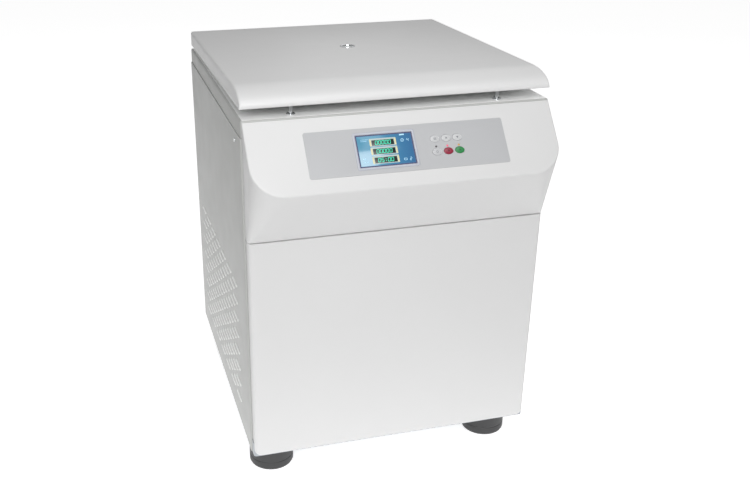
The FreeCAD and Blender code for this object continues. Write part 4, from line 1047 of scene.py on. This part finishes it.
def lid_outline(inset):
    """Side outline of the lid as (y, z) points: level top, elliptic nose, flat underside."""
    back = LID_BACK - inset
    front = LID_FRONT + inset
    low = LID_LOW + inset * 0.2
    top = LID_TOP - inset
    nose_long = NOSE_LONG - inset
    nose_high = NOSE_HIGH - inset
    turn = LID_BACK_ROUND
    points = [Vector((back, low)), Vector((back, top - turn))]
    points += [Vector((back - turn * (1 - math.cos(a)), top - turn + turn * math.sin(a)))
               for a in quarter(5)[1:]]
    points += [Vector((front + nose_long - nose_long * math.sin(a),
                       top - nose_high + nose_high * math.cos(a))) for a in quarter(22)]
    points.append(Vector((front + 0.3, low + 1.2)))
    points.append(Vector((front + 1.5, low)))
    return points


def inset_outline(points, amount):
    """Move an outline inwards, less and less towards its underside."""
    count = len(points)
    moved = []
    for i, point in enumerate(points):
        along = (points[(i + 1) % count] - points[i - 1]).normalized()
        inward = Vector((-along.y, along.x))
        fade = min(max((point.y - 4) / 9, 0), 1)
        moved.append(point + inward * amount * fade)
    return moved


def lid_shell():
    """Lid cover: elliptic nose, soft side edges, hollow below, with the sight hole."""
    ends = [(-LID_HALF + LID_ROUND * (1 - math.cos(a)), LID_ROUND * (1 - math.sin(a)))
            for a in quarter(5)]
    shape = ends + [(-x, inset) for x, inset in reversed(ends)]
    outline = lid_outline(0)
    bm = bmesh.new()
    stack(bm, [[Vector((x, p.x, p.y)) for p in inset_outline(outline, inset)] for x, inset in shape])
    made = as_object(bm, "lid_cover")
    inner = bmesh.new()
    hollow = [Vector((p.x, p.y if p.y > 8 else p.y - 8)) for p in lid_outline(LID_WALL)]
    stack(inner, [[Vector((x, p.x, p.y)) for p in hollow]
                  for x in (-LID_HALF + LID_WALL, LID_HALF - LID_WALL)])
    carve(made, as_object(inner, "lid_cutter"))
    port = bmesh.new()
    plug(port, PORT_HOLE, 20, 50, 48, shift(0, rotor_y - hinge.y, 0))
    carve(made, as_object(port, "port_cutter"))
    move(made, lid_place)
    piece(made, LID, body="lid", replaces=["lid_shell"])


def view_port():
    """Chrome ring with a rounded lip, and a slightly domed glass."""
    top = LID_TOP
    at = shift(0, rotor_y - hinge.y, 0)

    def port_ring(bm):
        lathe(bm, [(12, top - 6, 0), (12.8, top - 6, 0), (12.8, top + 0.05, 0), (17, top + 0.05, 0.1),
                   (16.6, top + 1.0, 0.7), (14.6, top + 1.3, 0.5), (12.6, top + 0.6, 0.6),
                   (12, top - 1, 0.2)], 64, 4, at)

    def glass(bm):
        lathe(bm, [(0, top - 5.5, 0), (11.8, top - 5.5, 0), (11.8, top - 1, 0.5), (0, top - 0.2, 0)],
              48, 4, at)

    build("sight_glass_ring", CHROME, port_ring, body="lid", replaces=["view_port_ring"],
          place=lid_place)
    build("sight_glass", GLASS, glass, body="lid", replaces=["view_port_glass"],
          place=lid_place)


# ---------- feet and screws

def feet():
    """Broad rubber feet with a moulded groove and a rounded rim."""
    profile = [(0, 0.8, 0), (38, 0.8, 0), (40, 0, 0), (46, 0, 0), (FOOT_RADIUS, 4, 2.5),
               (FOOT_RADIUS, 17, 0.5), (47.2, 18, 0.3), (47.2, 20, 0.3), (FOOT_RADIUS, 21, 0.5),
               (FOOT_RADIUS, 66, 1.5), (46, FOOT_HEIGHT, 1), (0, FOOT_HEIGHT, 0)]

    def pucks(bm):
        for y, inset in zip((cab_front + FOOT_DEPTH, cab_back - FOOT_DEPTH), FOOT_INSETS):
            for side in (-1, 1):
                lathe(bm, profile, 72, 4, shift(side * (half_width - inset), y, 0))

    build("rubber_feet", RUBBER, pucks, replaces=["feet"])


def screw_places():
    """Placement and head height of the screws on the sides and on the back."""
    low_z = span("side_panel_left")[0].z + 60
    back_y = span("rear_panel")[1].y
    to_back = Matrix.Rotation(math.radians(-90), 4, "X")
    for side in (-1, 1):
        outward = Matrix.Rotation(math.radians(90 * side), 4, "Y")
        yield shift(side * half_width, cab_front + 51, side_top - 20) @ outward, SCREW_RISE
        for z in (low_z, side_top - 40):
            yield shift(side * REAR_SCREW_X, back_y, z) @ to_back, REAR_SCREW_RISE


def screws():
    """Pan-head screws with a cross recess."""
    places = list(screw_places())

    def heads(bm):
        for at, high in places:
            lathe(bm, [(0, -3, 0), (2, -3, 0), (2, -0.2, 0), (4, -0.2, 0), (4, high, 0.8), (0, high, 0)],
                  28, 5, at)

    made = build("cover_screws", CHROME, heads, replaces=["panel_screws"])
    for name, x, y in (("slot_cutter_a", 2.2, 0.35), ("slot_cutter_b", 0.35, 2.2)):
        slots = bmesh.new()
        for at, high in places:
            cuboid(slots, (-x, -y, high - 0.7), (x, y, high + 1), at)
        carve(made, as_object(slots, name))


# ---------- carried-over CAD pieces

CARRIED = {
    SHADED_STEEL_PAINT: ["motor_plate"],
    RAW_STEEL: ["base_pan", "corner_posts", "mid_deck", "guard_ring", "lock_housings", "gas_spring_feet",
                "deck_hinge_brackets", "lid_hinge_arms", "lock_fork_left", "lock_fork_right"],
    BOARD: ["control_board"],
    STAINLESS: ["rotor_chamber"],
    COPPER: ["evaporator_coil"],
    FOAM: ["insulation_jacket"],
    LINER: ["lid_liner"],
    BLACK_STEEL: ["gas_spring_body_left", "gas_spring_body_right", "fan_frame", "compressor"],
    CHROME: ["gas_spring_rod_left", "gas_spring_rod_right"],
    SEAL: ["motor_buffers"],
    MOTOR_PAINT: ["motor"],
    SPINDLE: ["drive_spindle"],
    ROTOR_METAL: ["rotor_yoke", "rotor_knob"],
    BUCKET_METAL: ["bucket_1", "bucket_2", "bucket_3", "bucket_4"],
    FINS: ["condenser", "motor_inverter"],
    BLACK_PLASTIC: ["condenser_fan", "power_inlet"],
    ROCKER: ["power_rocker"],
}
ROUNDED = {
    "deck_hinge_brackets": 0.6, "lid_hinge_arms": 0.6, "rotor_yoke": 1.5,
    "bucket_1": 0.8, "bucket_2": 0.8, "bucket_3": 0.8, "bucket_4": 0.8, "power_inlet": 0.6,
    "gas_spring_feet": 0.5, "gas_spring_body_left": 0.8, "gas_spring_body_right": 0.8,
}


def carried_over():
    """Paint the CAD pieces that stay, and soften the edges of those that show."""
    for finish, names in CARRIED.items():
        for name in names:
            thing = nodes[name]
            thing.data.materials.clear()
            thing.data.materials.append(finish)
    for name, radius in ROUNDED.items():
        thing = nodes[name]
        weld = thing.modifiers.new("weld", "WELD")
        weld.merge_threshold = 0.00002
        bevel = thing.modifiers.new("soft_edges", "BEVEL")
        bevel.width = radius * MM
        bevel.segments = 2
        bevel.limit_method = "ANGLE"
        bevel.angle_limit = math.radians(40)


# ---------- studio

# The floor glows behind and beside the machine. Each fade is an axis, with the
# metres where the glow has ended and where it is full.
POOL_FADES = (("X", -1.4, -0.72), ("Y", -1.1, -0.42))
POOL_TURN = -3.8
POOL_DIM = (218, 218, 218)
POOL_GLOW = 0.7
FLOOR_RADIUS = 30
SKY = 0.33

# Name, place, aim, size in metres and watts of each square soft light.
LIGHTS = (
    ("key", (-0.9, -2.9, 2.3), (0.0, 0.0, 0.55), 1.8, 74),
    ("top", (0.2, -1.2, 3.4), (0.0, 0.0, 0.6), 2.0, 22),
    ("rear", (1.3, 2.8, 2.6), (0.0, 0.0, 0.5), 2.0, 8),
)

CAMERA_PLACE = (-0.59097, -1.9112, 1.2771)
CAMERA_TURN = (66.01, 0.077, -14.956)
LENS = 45.34
SENSOR = 36
SHIFT = 0.0717


def light_pool(material, fades, turned, dim, glow):
    """Let a floor glow, and turn dim outside the pool of light that the fades leave."""
    tree = material.node_tree
    shader = tree.nodes["Principled BSDF"]
    place = add_node(tree, "TexCoord")
    turn = add_node(tree, "Mapping")
    put(turn, "Rotation", (0, 0, math.radians(turned)))
    parts = add_node(tree, "SeparateXYZ")
    link(tree, place.outputs["Object"], turn.inputs["Vector"])
    link(tree, turn.outputs["Vector"], parts.inputs["Vector"])
    share = add_node(tree, "Math")
    share.operation = "MULTIPLY"
    for i, (axis, ended, full) in enumerate(fades):
        fade = add_node(tree, "MapRange")
        put(fade, "From Min", ended)
        put(fade, "From Max", full)
        link(tree, parts.outputs[axis], fade.inputs["Value"])
        link(tree, fade.outputs["Result"], share.inputs[i])
    glowing = add_node(tree, "Math")
    glowing.operation = "MULTIPLY"
    put(glowing, 1, glow)
    link(tree, share.outputs["Value"], glowing.inputs[0])
    link(tree, glowing.outputs["Value"], shader.inputs["Emission Strength"])
    tones = add_node(tree, "Mix")
    tones.data_type = "RGBA"
    put(tones, "A", colour(*dim))
    link(tree, shader.inputs["Base Color"].links[0].from_socket, tones.inputs["B"])
    link(tree, share.outputs["Value"], tones.inputs["Factor"])
    link(tree, tones.outputs["Result"], shader.inputs["Base Color"])


def pale_floor():
    """A wide disc of pale paper with its pool of light."""
    bm = bmesh.new()
    bmesh.ops.create_circle(bm, cap_ends=True, radius=FLOOR_RADIUS, segments=64)
    mesh = bpy.data.meshes.new("floor")
    bm.to_mesh(mesh)
    bm.free()
    floor = bpy.data.objects.new("floor", mesh)
    show(floor)
    paper = finish_of("floor_paper", (246, 246, 246), 0.9, relief=0, cloud=0.004, patches=1, glow=0.5)
    floor.data.materials.append(paper)
    light_pool(paper, POOL_FADES, POOL_TURN, POOL_DIM, POOL_GLOW)


def soft_light():
    """An even sky and three large square lights."""
    world = bpy.data.worlds.new("studio")
    world.use_nodes = True
    sky = world.node_tree.nodes["Background"]
    put(sky, "Color", (1, 1, 1, 1))
    put(sky, "Strength", SKY)
    bpy.context.scene.world = world
    for name, start, aim, size, watts in LIGHTS:
        data = bpy.data.lights.new(name, "AREA")
        data.shape = "SQUARE"
        data.size = size
        data.energy = watts
        lamp = bpy.data.objects.new(name, data)
        lamp.location = start
        lamp.rotation_euler = (Vector(aim) - Vector(start)).to_track_quat("-Z", "Y").to_euler()
        show(lamp)


def view_camera():
    """The camera at the viewing angle of the main picture."""
    data = bpy.data.cameras.new("camera")
    data.lens = LENS
    data.sensor_width = SENSOR
    data.shift_x = SHIFT
    data.clip_end = 100
    camera = bpy.data.objects.new("camera", data)
    camera.location = CAMERA_PLACE
    camera.rotation_euler = [math.radians(angle) for angle in CAMERA_TURN]
    show(camera)
    bpy.context.scene.camera = camera
    bpy.context.scene.view_settings.view_transform = "Standard"


def main():
    side_panels()
    rear_panel()
    lower_front()
    console()
    overlay()
    screen()
    keys()
    lamps()
    deck()
    mouth_seal()
    lock_parts()
    lid_shell()
    view_port()
    feet()
    screws()
    carried_over()
    pale_floor()
    soft_light()
    view_camera()


main()
